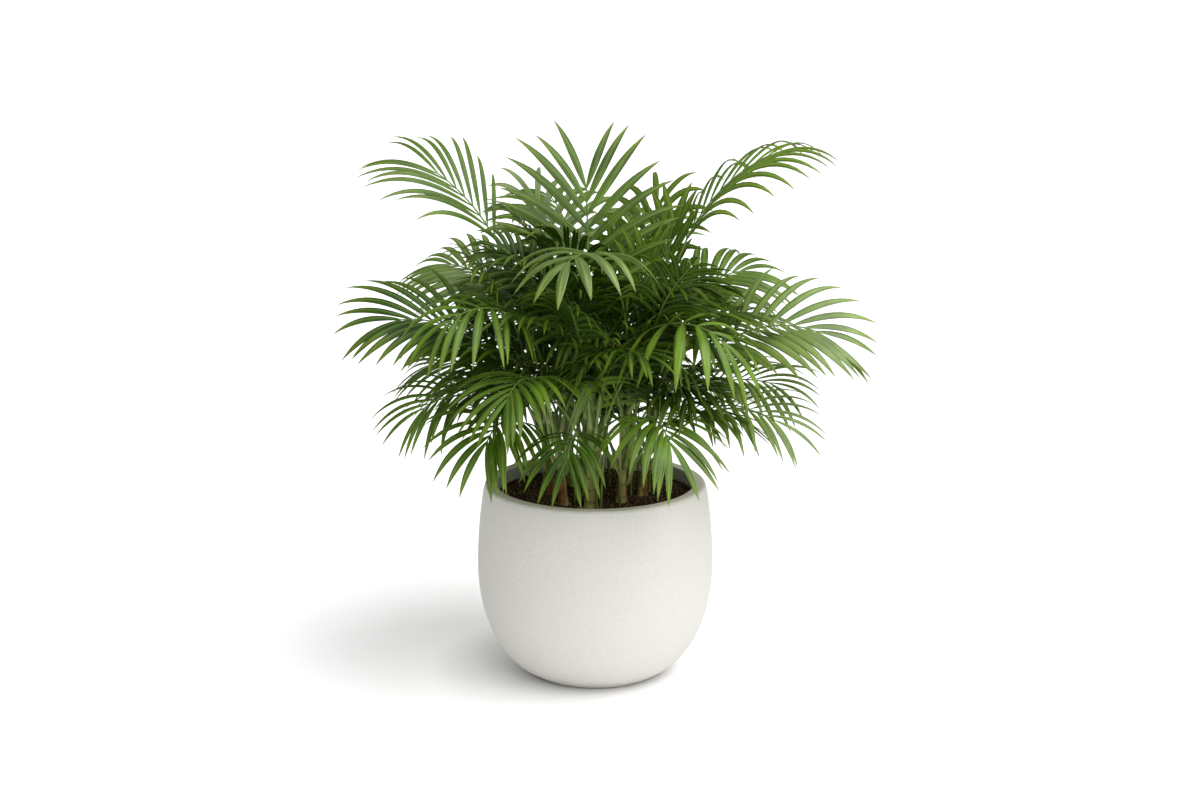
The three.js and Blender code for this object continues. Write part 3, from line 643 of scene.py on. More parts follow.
# %% Fronds
STOREYS = {
    "top": dict(rise=88, fall=25, petiole=195, blade=150, pairs=8, leaflet=145, droop=1),
    "middle": dict(rise=68, fall=-16, petiole=142, blade=145, pairs=8, leaflet=135, droop=1.1),
    "low": dict(rise=55, fall=-36, petiole=112, blade=118, pairs=8, leaflet=124, droop=1.2),
    "inner": dict(rise=83, fall=8, petiole=115, blade=128, pairs=8, leaflet=128, droop=1),
    "small": dict(rise=74, fall=-14, petiole=92, blade=104, pairs=9, leaflet=98, droop=1.2),
}
SPREAD_FOOT = 54  # angle between a leaflet and the rib at the foot of the blade
FINENESS = {  # how many times the row's pairs of leaflets a frond gets, and how many times their width
    "top": (1.05, 1), "middle": (1.2, 0.92), "low": (1.2, 0.92), "inner": (1.3, 0.78), "small": (1, 0.84),
}


def frond(name, storey, cane, at, facing, **own):
    placed = dict(name=name, storey=storey, cane=cane, at=at, heading=facing)
    return dict(sway=0, roll=0, spread=SPREAD_FOOT, broad=1) | STOREYS[storey] | placed | own


FRONDS = [
    frond("top_centre", "top", "centre", 1, 95, rise=84, fall=66, petiole=92, blade=168, pairs=9,
          leaflet=165, broad=0.92, droop=0.5),
    frond("centre_front", "top", "front_right", 0.95, -112, rise=92, fall=-18, petiole=254, blade=105,
          sway=-8, pairs=6, spread=74, leaflet=122, broad=1.4, droop=1.7),
    frond("upper_left", "top", "left", 0.9, 166, rise=89, fall=30, petiole=248, blade=130, sway=-8, roll=22,
          spread=34, leaflet=172, broad=0.62),
    frond("upper_right", "top", "right", 0.9, 7, rise=95, fall=24, petiole=250, blade=176, roll=-8, pairs=9,
          spread=32, leaflet=160, broad=0.85, droop=1.4),
    frond("left_mid", "middle", "left", 0.6, 188, fall=-4, petiole=125, blade=165, sway=8, pairs=9,
          spread=44, leaflet=150, roll=36, droop=0.9),
    frond("left_front", "middle", "front_left", 0.9, -132, rise=89, fall=-30, petiole=178, blade=125,
          pairs=7, sway=-14, roll=15, spread=66, broad=1.05, droop=2),
    frond("right_mid", "middle", "right", 0.6, -4, fall=-22, petiole=155, blade=165, pairs=8, spread=48,
          leaflet=150, roll=-38, droop=0.8),
    frond("front_right", "middle", "front", 0.9, -24, rise=72, fall=-42, petiole=52, blade=212, pairs=9,
          spread=120, leaflet=150, broad=1.3, roll=-8, droop=2.2),
    frond("low_front_left", "low", "front_left", 0.5, -110, rise=77, petiole=158),
    frond("low_left", "low", "left", 0.25, -122, rise=64, fall=-42, blade=110, sway=10, leaflet=138,
          roll=15),
    frond("low_centre", "low", "front", 0.3, -106, rise=66, fall=-48, petiole=95, blade=85, sway=10,
          pairs=6, leaflet=112, droop=1.8),
    frond("low_right", "low", "front_right", 0.35, -72, rise=62, fall=-42, blade=115, sway=4, leaflet=135,
          droop=1.4),
    frond("right_low_back", "low", "right", 0.3, -28, fall=-26, petiole=118, blade=128, sway=-6, roll=-20,
          broad=0.7),
    frond("left_low_mid", "low", "left", 0.35, 208, rise=60, fall=-30, petiole=126, sway=12, roll=20,
          broad=0.7),
    frond("left_back_mid", "low", "back_left", 0.45, 168, rise=48, fall=-18, petiole=124, sway=-10, roll=25,
          broad=0.7),
    frond("upper_left_mid", "middle", "back_left", 0.8, 158, fall=2, petiole=138, blade=132, sway=-8,
          roll=25),
    frond("right_upper_mid", "middle", "back_right", 0.75, 22, rise=70, fall=2, blade=128, sway=6,
          roll=-25),
    frond("right_low_mid", "low", "back_right", 0.4, -18, rise=44, fall=-8, petiole=140, sway=-14, roll=-25,
          broad=0.7),
    frond("back_right_top", "top", "back_right", 0.97, 52, fall=62, petiole=104, blade=142, pairs=7,
          leaflet=124),
    frond("back_left_top", "top", "back_left", 0.97, 128, fall=62, petiole=104, blade=142, pairs=7,
          leaflet=124),
    frond("back_top_left", "top", "back", 0.9, 112, rise=84, fall=14),
    frond("back_top_right", "top", "back", 0.75, 66, rise=82, fall=10),
    frond("back_mid_far_left", "middle", "back_left", 0.65, 146),
    frond("back_mid_left", "middle", "back_left", 0.55, 118),
    frond("back_mid_centre", "middle", "back", 0.55, 90, petiole=162),
    frond("back_mid_right", "middle", "back_right", 0.6, 62),
    frond("back_mid_far_right", "middle", "back_right", 0.5, 34),
    frond("back_low_far_left", "low", "back_left", 0.3, 158),
    frond("back_low_left", "low", "back_left", 0.25, 126),
    frond("back_low_centre", "low", "back", 0.3, 98),
    frond("back_low_right", "low", "back", 0.2, 70),
    frond("back_low_far_right", "low", "back_right", 0.25, 44),
    frond("inner_left_front", "inner", "centre", 0.85, -140, fall=20),
    frond("inner_right_front", "inner", "centre", 0.7, -30, petiole=122),
    frond("inner_left_back", "inner", "centre", 0.6, 150, petiole=122),
    frond("inner_right_back", "inner", "centre", 0.5, 40, petiole=122),
    frond("inner_left", "inner", "front", 0.8, -150, fall=0, petiole=92),
    frond("inner_far_left", "inner", "front_left", 0.7, -170, fall=-10, petiole=92),
    frond("inner_far_right", "inner", "front_right", 0.7, 10, fall=-10),
    frond("inner_front", "inner", "front", 0.6, -60, fall=-5, petiole=92),
    frond("inner_low_left", "inner", "left", 0.45, -140, rise=74, fall=-24, petiole=85, blade=110),
    frond("inner_low_right", "inner", "right", 0.4, -60, rise=74, fall=-20, petiole=95, blade=110),
    frond("inner_low_front", "inner", "front_right", 0.2, -10, rise=70, fall=-20, petiole=90, blade=110),
    frond("inner_low_back", "inner", "centre", 0.3, 100, rise=74, fall=-10, petiole=120, blade=115),
    frond("inner_right", "inner", "right", 0.8, -60, rise=78, fall=-8, petiole=100, blade=120),
    frond("inner_low_centre", "inner", "centre", 0.2, -100, rise=80, fall=10, petiole=95, blade=115),
]
print("fronds with a solid:", len(FRONDS))

# %% [markdown]
# The rows above have a solid each. What follows has none. Three short fronds that stand upright fill the
# gap behind the upper right frond. Then each cane gets a few small fronds that crowd the middle of the
# clump, where a real one holds more leaves than a rigid model can. They climb their cane and turn round it
# by the golden angle, as leaves on a stem do, so that none grows right above another.

# %% Small fronds
SPEAR = dict(rise=86, fall=72, pairs=4, leaflet=98, spread=28, broad=1.5, droop=0.4)
SMALL_EACH = 7
SMALL_FROM, SMALL_SPAN = 0.3, 0.65  # they begin at this share of their cane and take up this much of it
SMALL_PETIOLE, SMALL_LONGER = 80, 12  # the lowest one's stalk, and how much longer each next one's is
SMALL_FALLS, SMALL_ROLLS = (38, -12), (30, -30)  # taken by turns
GOLDEN_ANGLE = 137.5
CANE_OFFSET = 40  # turns the fronds of each next cane a little further


def small_fronds():
    """Fronds that crowd the middle of the clump, spread evenly round each cane by the golden angle."""
    made = []
    for i, name in enumerate(CANES):
        for k in range(SMALL_EACH):
            at = SMALL_FROM + SMALL_SPAN * (k + 0.5) / SMALL_EACH
            facing = CANES[name]["heading"] + CANE_OFFSET * i + GOLDEN_ANGLE * (k + 1)
            made.append(frond(f"small_{name}_{k}", "small", name, at, facing,
                              petiole=SMALL_PETIOLE + SMALL_LONGER * k, fall=SMALL_FALLS[k % 2],
                              roll=SMALL_ROLLS[(i + k) % 2]))
    return made


FRONDS += [
    frond("spear_right", "small", "back_right", 0.93, -60, petiole=112, blade=70, **SPEAR),
    frond("spear_centre", "small", "back", 0.85, -40, petiole=160, blade=80, **SPEAR),
    frond("spear_far_right", "small", "right", 0.7, 60, petiole=215, blade=85, **SPEAR),
]
FRONDS += small_fronds()
print("fronds in all:", len(FRONDS))

# %% [markdown]
# The rib's curve starts close along its cane, rises, and arches over towards the tip. It is followed in
# forty short steps. Two ribs may not run through each other, so each rib in turn is compared with the ones
# that stand already, and turned a few degrees, to the left and the right by turns, until it passes. A
# small frond that finds no room is left out.

# %% Rib curves
RIB_STEPS = 40
BEND = 1.6  # above 1, a rib stays steep at first and bends most near its tip
CLASP = 0.12  # the share of its length along which a rib keeps to its cane
CLASP_SPREAD = 0.12  # how much it leaves the cane's direction there
RIB_FOOT, RIB_TIP = 2.8, 0.9  # radii
RIB_TAPER = 0.8
SHEATH, SHEATH_LENGTH = 1.4, 12  # how much thicker the foot is, and how soon that fades
NUDGE, MOST_NUDGES = 4, 20  # degrees of a turn, and how often it is tried
RIB_GAP = 1
SAMPLE = 3  # ribs and canes are compared as balls this far apart
SEATED = 30  # the length of a rib that may be close to its own cane
ROLL_START = 0.4  # the share of the stalk where the roll of the blade begins


def rib_curve(leaf, turn):
    point, direction, radius = cane_at(CANES[leaf["cane"]], min(leaf["at"], 1))
    length = leaf["petiole"] + leaf["blade"]
    away = heading(leaf["heading"] + turn)
    start, clasping = point + direction * CLEARANCE, direction
    if leaf["at"] < 1:
        start = point + away * (radius + CLEARANCE + RIB_FOOT + SHEATH)
        clasping = unit(direction + away * CLASP_SPREAD)
    points = [start]
    for share in (np.arange(RIB_STEPS) + 0.5) / RIB_STEPS:
        facing = leaf["heading"] + turn + leaf["sway"] * share * share
        free = pointing(facing, lerp(leaf["rise"], leaf["fall"], share ** BEND))
        hold = max(0, 1 - share / CLASP) ** 2
        points.append(points[-1] + unit(lerp(free, clasping, hold)) * length / RIB_STEPS)
    return np.array(points)


def rib_radius(leaf, distance):
    share = distance / (leaf["petiole"] + leaf["blade"])
    return lerp(RIB_FOOT, RIB_TIP, share ** RIB_TAPER) + SHEATH * np.exp(-distance / SHEATH_LENGTH)


def rib_point(curve, share):
    place = min(max(share * RIB_STEPS, 0), RIB_STEPS - 1e-9)
    i = int(place)
    return lerp(curve[i], curve[i + 1], place - i), unit(curve[i + 1] - curve[i])


def rib_samples(leaf, curve):
    length = leaf["petiole"] + leaf["blade"]
    distances = np.arange(0, length + 1e-6, SAMPLE)
    return np.array([[*rib_point(curve, d / length)[0], rib_radius(leaf, d)] for d in distances])


def cane_samples(cane):
    places = [cane_at(cane, d / cane["length"]) for d in np.arange(0, cane["length"] + 1e-6, SAMPLE)]
    return np.array([[*point, radius] for point, _, radius in places])


def space_between(mine, others):
    """The least distance between the skins of two lots of balls, each given as x, y, z and radius."""
    apart = np.linalg.norm(mine[:, None, :3] - others[None, :, :3], axis=2)
    return (apart - mine[:, None, 3] - others[None, :, 3]).min()


STEMS = {name: cane_samples(cane) for name, cane in CANES.items()}


def place_ribs():
    placed = np.zeros((0, 4))
    for leaf in list(FRONDS):
        others = np.concatenate([s for name, s in STEMS.items() if name != leaf["cane"]] + [placed])
        for i in range(MOST_NUDGES + 1):
            turn = NUDGE * math.ceil(i / 2) * (1 if i % 2 else -1)
            curve = rib_curve(leaf, turn)
            mine = rib_samples(leaf, curve)
            seated = mine[math.ceil(SEATED / SAMPLE):]
            if min(space_between(mine, others), space_between(seated, STEMS[leaf["cane"]])) > RIB_GAP:
                break
        else:
            print("no room for", leaf["name"])
            FRONDS.remove(leaf)
            continue
        leaf.update(turn=turn, curve=curve, samples=mine)
        placed = np.concatenate([placed, mine])


place_ribs()
print("turned:", {leaf["name"]: leaf["turn"] for leaf in FRONDS if leaf["turn"]})

# %% [markdown]
# Seen across, a rib is a rounded bar, a little wider than it is deep. Its upper side follows the blade,
# and on a rolled blade the rib turns with it. The foot of the stalk is a sheath that clasps the cane: it
# starts inside the cane, out of sight, and is wider there.

# %% Ribs
RIB_POINTS = 64
RIB_FLATNESS = 0.9
FOOT_PULL = 5  # how far the foot of a rib reaches back into its cane
FOOT_COLOUR = (150, 146, 84)
FOOT_TONE = (0.12, 0.45)  # the share of the rib where the foot's tone ends, and how strong it is at first


def rib_frame(leaf, distance):
    """Place, tangent, and the blade's side and upward directions at a distance along the rib."""
    share = distance / (leaf["petiole"] + leaf["blade"])
    point, tangent = rib_point(leaf["curve"], share)
    facing = math.radians(leaf["heading"] + leaf["turn"] + leaf["sway"] * share * share)
    side = np.array([math.sin(facing), -math.cos(facing), 0.0])
    side = unit(side - tangent * side.dot(tangent))
    upward = np.cross(side, tangent)
    part = min(max((distance / leaf["petiole"] - ROLL_START) / (1 - ROLL_START), 0), 1)
    roll = math.radians(leaf["roll"]) * part * part * (3 - 2 * part)
    across = side * math.cos(roll) + upward * math.sin(roll)
    return point, tangent, across, upward * math.cos(roll) - side * math.sin(roll)


def rib_path(leaf):
    length = leaf["petiole"] + leaf["blade"]
    distances = np.linspace(0, length, RIB_POINTS)
    places = [rib_frame(leaf, d) for d in distances]
    middle = np.array([point for point, _, _, _ in places])
    upward = np.array([up for _, _, _, up in places])
    smooth = middle.copy()
    smooth[1:-1] = (middle[:-2] + 2 * middle[1:-1] + middle[2:]) / 4
    _, direction, _ = cane_at(CANES[leaf["cane"]], min(leaf["at"], 1))
    away = heading(leaf["heading"] + leaf["turn"]) * (leaf["at"] < 1)
    foot = smooth[0] - direction * FOOT_PULL - away * FOOT_PULL
    widths = rib_radius(leaf, distances)
    return np.vstack([foot, smooth]), np.concatenate([widths[:1], widths]), np.vstack([upward[:1], upward])


def rib_material():
    material, r, shader = new_material("leaf_stalk", Specular_IOR_Level=0.45)
    node = mottled(r, shader, (116, 140, 58), (84, 110, 40), Scale=45.0, Detail=3.0, Smooth=0.34,
                   Rough=0.5)
    foot = r.blend(r.mark("along"), 0.0, *FOOT_TONE, 0.0)
    tint = r.mix(foot, node.outputs["Colour"], srgb(*FOOT_COLOUR))
    r.plug(tint, shader, "Base Color")
    return material


EVERY_FROND = sorted(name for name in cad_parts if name.startswith(("frond_", "stalk_")))
ribs = run_tree(SWEEP, paths_mesh("rib_paths", [rib_path(leaf) for leaf in FRONDS]), "ribs",
                {"Sides": 8, "Flatness": RIB_FLATNESS, "Finish": rib_material()})
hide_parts(*EVERY_FROND)
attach(ribs, "root")
print("fronds stood for:", len(EVERY_FROND))

# %% [markdown]
# ## The leaflets
#
# A leaflet is a strip with a raised midrib. It is narrow where it joins the rib, widest before the middle,
# and ends in a long point. Leaflets near the foot of the blade stand out at a wide angle, and those near
# the tip point forward. Each one starts straight and then gives way to its own weight. The solids carry a
# few broad leaflets each, because a solid must stay light. Here there are up to a third more and most are
# narrower, with the same angles, lengths and droop, so the crown keeps its outline. A little luck in each
# value keeps two neighbours from looking alike.

# %% Leaflet paths
SPREAD_TIP = 18  # angle between a leaflet and the rib at the tip
LIFT = 12  # how far a leaflet starts above the blade's plane, in degrees
TWIST = 8
LENGTHS = ((0, 0.3, 0.7, 1), (0.8, 1, 0.95, 0.72))  # places along the blade, and the share of the length
LEAFLET_WIDTH, WIDTH_AT = 13.4, 140  # the width, and the length of leaflet that has it
LEAFLET_STEPS = 12
DROOP_BEND = 1.5  # above 1, a leaflet droops more and more towards its tip
RIB_END = 3
ROOT = 4
SPREAD_JITTER, LENGTH_JITTER, DROOP_JITTER = 5, 0.1, 0.35  # how much luck may change each
CURL = 13  # how far a leaflet may bend to a side, in degrees
SPREAD_CLOSING = 2  # above 1, only the last leaflets close in towards the tip of the rib
WIDEST = 0.45  # the share of its length where a leaflet is widest
FOOT_WIDTH, FOOT_SWELL = 0.14, 0.8  # its width at the foot, as a share, and how soon it widens
THINNEST = 0.03


def leaf_outline(share):
    """Half width of a leaflet along its length, as a share of its greatest."""
    swelling = np.clip(share / WIDEST, 0, 1) ** FOOT_SWELL
    rising = FOOT_WIDTH + (1 - FOOT_WIDTH) * np.sin(swelling * math.pi / 2)
    fading = np.clip((share - WIDEST) / (1 - WIDEST), 0, 1)
    return np.maximum(rising * (1 - fading ** 2), THINNEST)


def turned(vector, axis, angle):
    """A vector turned about an axis by an angle in radians."""
    return (vector * math.cos(angle) + np.cross(axis, vector) * math.sin(angle)
            + axis * axis.dot(vector) * (1 - math.cos(angle)))


def leaflet_path(leaf, share, hand, luck, swing, reach):
    middle = leaf["petiole"] + share * (leaf["blade"] - RIB_END - ROOT / 2)
    point, tangent, side, upward = rib_frame(leaf, middle)
    spread = lerp(leaf["spread"], SPREAD_TIP, share ** SPREAD_CLOSING) + SPREAD_JITTER * luck[0]
    spread = math.radians(spread)
    lift = math.radians(LIFT + swing)
    outward = side * hand * math.cos(lift) + upward * math.sin(lift)
    first = tangent * math.cos(spread) + outward * math.sin(spread)
    length = leaf["leaflet"] * np.interp(share, *LENGTHS) * reach * (1 + LENGTH_JITTER * luck[1])
    droop = leaf["droop"] * (1 + DROOP_JITTER * luck[2])
    gone = (np.arange(LEAFLET_STEPS) + 0.5) / LEAFLET_STEPS
    steps = unit(first - droop * gone[:, None] ** DROOP_BEND * UP)
    bend = math.radians(CURL) * luck[3] * 2
    steps = np.array([turned(step, UP, bend * g) for step, g in zip(steps, gone)])
    points = np.vstack([point, point + np.cumsum(steps, axis=0) * length / LEAFLET_STEPS])

    forward = unit(tangent - first * tangent.dot(first))
    breadth = turned(forward, first, hand * math.radians(TWIST))
    flat = np.cross(first, breadth) * hand
    flats = [flat]
    for step in steps:
        flat = unit(flat - step * flat.dot(step))
        flats.append(flat)
    widest = LEAFLET_WIDTH * FINENESS[leaf["storey"]][1] * leaf["broad"] * math.sqrt(length / WIDTH_AT)
    return points, leaf_outline(np.linspace(0, 1, LEAFLET_STEPS + 1)) * widest / 2, np.array(flats)


print("outline:", leaf_outline(np.linspace(0, 1, 6)).round(2))

# %% [markdown]
# A leaflet may not run into the pot, the mix, a cane or another frond's rib, and it should not lie through
# another leaflet. Each one is tried at its own angle first, then swung up or down, then shorter. A try that
# touches a limb is never taken. Of those that only come close to another leaflet, the one with the most
# room is taken.

# %% Grow the leaflets
TRIES = [  # degrees up or down from a leaflet's own angle, and the share of its own length
    (0, 1), (7, 1), (-7, 1), (14, 1), (-14, 1), (21, 0.95), (-21, 0.95), (7, 0.85), (-7, 0.85),
    (0, 0.7), (14, 0.65), (-14, 0.65), (25, 0.6), (-25, 0.6),
]
LIMB_GAP, LEAF_GAP, POT_GAP = 1.2, 5, 3  # room to leave to limbs, to other leaflets, and to pot and mix
BETTER = 0.5  # how much more room a try needs to take the place of an earlier one
WITHIN = 1.3  # a leaflet stays within this many of its lengths of its rib
CORE = 0.4  # the share of a leaflet's half width that counts when it passes a limb


def touches_pot(points):
    radius, z = np.hypot(points[:, 0], points[:, 1]), points[:, 2]
    outside = radius > np.where(z < POT_HEIGHT, flank_radius(z), RIM_RADIUS) + POT_GAP
    above = z > POT_HEIGHT + POT_GAP
    inside = (radius < OPENING_RADIUS - POT_GAP) & (z > SOIL_TOP + 2 * POT_GAP)
    return not (outside | above | inside).all()


def all_limbs(but=None):
    """The canes and the ribs, but for one frond's, as balls."""
    return np.concatenate([leaf["samples"] for leaf in FRONDS if leaf is not but] + [*STEMS.values()])


def limbs_around(leaf):
    """What a frond's leaflets could touch: the canes and the other ribs, where they come near."""
    limbs = all_limbs(but=leaf)
    rib, reach = leaf["samples"][:, :3], WITHIN * leaf["leaflet"]
    return limbs[((limbs[:, :3] > rib.min(0) - reach) & (limbs[:, :3] < rib.max(0) + reach)).all(1)]


def grow_leaflets():
    lows, highs, grown, skipped = np.zeros((0, 3)), np.zeros((0, 3)), [], 0
    for leaf in FRONDS:
        pairs = round(leaf["pairs"] * FINENESS[leaf["storey"]][0])
        leaf["leaflets"], limbs = [], limbs_around(leaf)
        for share in np.linspace(0, 1, pairs):
            for hand in (-1, 1):
                luck, best = rng.uniform(-0.5, 0.5, 4), None
                for swing, reach in TRIES:
                    path = leaflet_path(leaf, share, hand, luck, swing, reach)
                    points = path[0][2:]
                    balls = np.column_stack([points, path[1][2:] * CORE])
                    if touches_pot(points) or space_between(balls, limbs) < LIMB_GAP:
                        continue
                    low, high = points.min(0) - LEAF_GAP, points.max(0) + LEAF_GAP
                    near = np.flatnonzero((lows < high).all(1) & (highs > low).all(1))
                    apart = [np.linalg.norm(points[:, None] - grown[k][None], axis=2).min() for k in near]
                    room = min(apart, default=LEAF_GAP)
                    if best is None or min(room, LEAF_GAP) > best[0] + BETTER:
                        best = min(room, LEAF_GAP), path
                    if room >= LEAF_GAP:
                        break
                if best is None:
                    skipped += 1
                    continue
                points = best[1][0][2:]
                leaf["leaflets"].append(best[1])
                grown.append(points)
                lows, highs = np.vstack([lows, points.min(0)]), np.vstack([highs, points.max(0)])
    print("leaflets:", len(grown), "skipped:", skipped)


grow_leaflets()

# %% [markdown]
# Leaflets are green in more than one way. Young fronds are yellow green. Fronds inside the clump, and a few
# of the outer ones, get a dark green that is painted shade: it stands for the shade that falls inside the
# clump. Some that hang outside get a paler tint that is a painted sheen, and they also shine more. The tint
# goes by frond: each tint is a piece of its own, with plain base colours that the mottle varies a little.
# Over them lie a yellower tip, lengthwise streaks and the midrib, which is paler and partly a painted
# highlight along the leaflet's ridge. The midrib, the streaks and the veins follow the place across the
# leaflet that the sweep wrote on its outline, so they run along it however it bends. The height goes into
# the streaks too, so that one leaflet's differ from the next one's.
#
# Against the light a leaf glows. A share of its shader is therefore translucent, in a yellower green.

# %% Leaf finish
# The pale tint paints a sheen on fronds that hang outside. The dark tint paints the shade inside the clump.
TINTS = {
    "fresh": ((132, 168, 48), (94, 132, 26)),
    "mid": ((108, 144, 36), (74, 108, 18)),
    "painted_sheen": ((144, 170, 88), (102, 132, 50)),
    "painted_shade": ((66, 100, 18), (38, 66, 7)),
}
SHINE = {"fresh": 0.55, "mid": 0.55, "painted_sheen": 0.9, "painted_shade": 0.25}
TINT_OF = {
    "fresh": ("front_right", "inner_low_centre", "back_low_centre", "back_right_top",
              "back_top_right", "upper_right", "spear_right", "spear_centre", "spear_far_right"),
    "painted_sheen": ("centre_front", "right_mid", "back_left_top", "upper_left_mid", "right_low_back",
                "right_low_mid", "back_low_far_right", "back_mid_far_right"),
    "painted_shade": ("back_mid_centre", "back_low_left", "low_centre", "left_mid"),
}
TIP_COLOUR, TIP_FROM, TIP_SHARE = (150, 172, 48), 0.5, 0.4
# The midrib's paler colour is partly the real midrib and partly a painted highlight along the fold's ridge.
MIDRIB_AND_HIGHLIGHT_COLOUR, MIDRIB_AND_HIGHLIGHT_SHARE = (176, 194, 118), 0.3
MIDRIB_AND_HIGHLIGHT = (0.05, 0.2)  # how far from the middle it is full, and where it ends
GLOW_COLOUR = (190, 230, 40)
GLOW_SHARE = 0.45  # how far the light that comes through takes that colour
TRANSLUCENT = 0.26
STREAKS = (2.2, 6.0)  # how fast the streaks change across a leaflet and with the height
STREAK_CUT = (0.36, 0.64)  # the values of the noise that give the darkest and the lightest streak
STREAK_LIGHT = (0.5, 1.5)  # how bright these two are, against the leaflet's own colour
VEINS = 42.0
LEAF_FLATNESS = 0.09
LEAF_FOLD = 0.22


def leaf_material(name, light, dark):
    material, r, shader = new_material("leaf_" + name, Specular_IOR_Level=SHINE[name])
    node = mottled(r, shader, light, dark, Scale=22.0, Detail=3.0, Smooth=0.3, Rough=0.46)
    across, along = r.mark("across"), r.mark("along")
    # Paler midrib, partly a painted highlight on the ridge of the leaflet.
    midrib_and_highlight = r.blend(r.math("ABSOLUTE", across), *MIDRIB_AND_HIGHLIGHT, MIDRIB_AND_HIGHLIGHT_SHARE, 0.0)
    strip = r.add("ShaderNodeCombineXYZ", (r.math("MULTIPLY", across, STREAKS[0]), along,
                                           r.math("MULTIPLY", r.height(), STREAKS[1])))
    tip = r.blend(along, TIP_FROM, 1, 0.0, TIP_SHARE)
    tint = r.mix(tip, node.outputs["Colour"], srgb(*TIP_COLOUR))
    brightness = r.blend(r.noise(strip, 1.0, 3.0), *STREAK_CUT, *STREAK_LIGHT)
    tint = r.add("ShaderNodeHueSaturation", {"Value": brightness, "Color": tint})
    tint = r.mix(midrib_and_highlight, tint, srgb(*MIDRIB_AND_HIGHLIGHT_COLOUR))
    r.plug(tint, shader, "Base Color")
    bump(r, shader, r.math("SINE", r.math("MULTIPLY", across, VEINS)), 0.25, 0.0003)
    through = r.add("ShaderNodeBsdfTranslucent", {"Color": r.mix(GLOW_SHARE, tint, srgb(*GLOW_COLOUR))})
    blend = r.add("ShaderNodeMixShader", {0: TRANSLUCENT, 1: shader.outputs[0], 2: through})
    r.plug(blend, r.tree.nodes["Material Output"], "Surface")
    return material


def tint_of(leaf):
    """A frond has the tint that its name is listed under, or else the usual one of its storey."""
    # Fronds inside the clump and the small ones take the dark tint of painted shade unless listed.
    usual = "painted_shade" if leaf["storey"] in ("inner", "small") else "mid"
    return next((tint for tint, names in TINT_OF.items() if leaf["name"] in names), usual)


for tint, colours in TINTS.items():
    sprays = [leaf for leaf in FRONDS if tint_of(leaf) == tint]
    paths = [path for leaf in sprays for path in leaf["leaflets"]]
    leaflets = run_tree(SWEEP, paths_mesh(tint + "_paths", paths), "leaflets_" + tint,
                        {"Sides": 4, "Flatness": LEAF_FLATNESS, "Fold": LEAF_FOLD,
                         "Finish": leaf_material(tint, *colours)})
    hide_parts(*["frond_" + leaf["name"] for leaf in sprays if leaf["storey"] != "small"])
    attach(leaflets, "root")
    print(tint + ":", len(sprays), "fronds,", len(paths), "leaflets")

# %% [markdown]
# ## Shoots and dry sheaths
#
# Two small things fill the foot of the clump. Thin young shoots stand between the canes, each a leaf that
# has not opened yet. And each cane keeps a few dry leaf bases at its foot, brown strips that have curled
# away from it; only the front cane stands bare. Both are sweeps again, with places drawn from the seeded
# generator. A shoot is kept where it runs into nothing.

# %% Shoots
SHOOTS, SHOOT_TRIES, SHOOT_POINTS = 26, 200, 24
SHOOT_OFF = (10, 24)  # how far a shoot stands from the middle of a cane's foot
SHOOT_LENGTH, SHOOT_LEAN, SHOOT_SWERVE = (110, 230), (2, 10), (-40, 40)
SHOOT_FOOT, SHOOT_TIP = (1.7, 2.6), 0.4  # half widths
SHOOT_BEND, SHOOT_TAPER = 1.6, 1.5
SHOOT_SUNK = 3  # how far it starts below the top of the mix
SHOOT_GAP, WALL_GAP = 0.6, 22  # room to leave to limbs, and to the edge of the opening


def shoot_path(limbs):
    for _ in range(SHOOT_TRIES):
        cane = CANES[list(CANES)[rng.integers(len(CANES))]]
        facing, off, length = rng.uniform(0, 360), rng.uniform(*SHOOT_OFF), rng.uniform(*SHOOT_LENGTH)
        lean, share = rng.uniform(*SHOOT_LEAN), np.linspace(0, 1, SHOOT_POINTS)
        foot = np.array([*cane["foot"], SOIL_TOP - SHOOT_SUNK]) + heading(facing) * off
        out = heading(facing + rng.uniform(*SHOOT_SWERVE)) * length * math.tan(math.radians(lean))
        points = foot + UP * length * share[:, None] + out * share[:, None] ** SHOOT_BEND
        widths = lerp(rng.uniform(*SHOOT_FOOT), SHOOT_TIP, share ** SHOOT_TAPER)
        balls = np.column_stack([points, widths])
        if np.hypot(*foot[:2]) < OPENING_RADIUS - WALL_GAP and space_between(balls, limbs) > SHOOT_GAP:
            return (points, widths, np.tile(heading(facing), (SHOOT_POINTS, 1))), balls
    return None


def shoots():
    limbs, paths = all_limbs(), []
    for _ in range(SHOOTS):
        found = shoot_path(limbs)
        if found:
            paths.append(found[0])
            limbs = np.concatenate([limbs, found[1]])
    return paths


shoot_finish = plain_material("young_shoot", 0.45, (124, 138, 58), (84, 106, 36), Scale=50.0, Detail=3.0,
                              Smooth=0.38, Rough=0.52)
young = run_tree(SWEEP, paths_mesh("shoot_paths", shoots()), "young_shoots",
                 {"Sides": 8, "Finish": shoot_finish})
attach(young, "root")

# %% Dry sheaths
SHEATHS_EACH, SHEATH_POINTS = 3, 14
SHEATH_HEIGHT = (24, 62)
SHEATH_CURL, CURL_BEND = (2, 9), 3  # how far its tip stands away from the cane, and how late it leaves it
SHEATH_WIDTH, SHEATH_TAPER, SHEATH_TIP = (3, 4.6), 2.2, 0.35
SHEATH_OFF = 0.4  # room between the strip and the skin of the cane
SHEATH_SUNK = 3  # how far it starts below the top of the mix


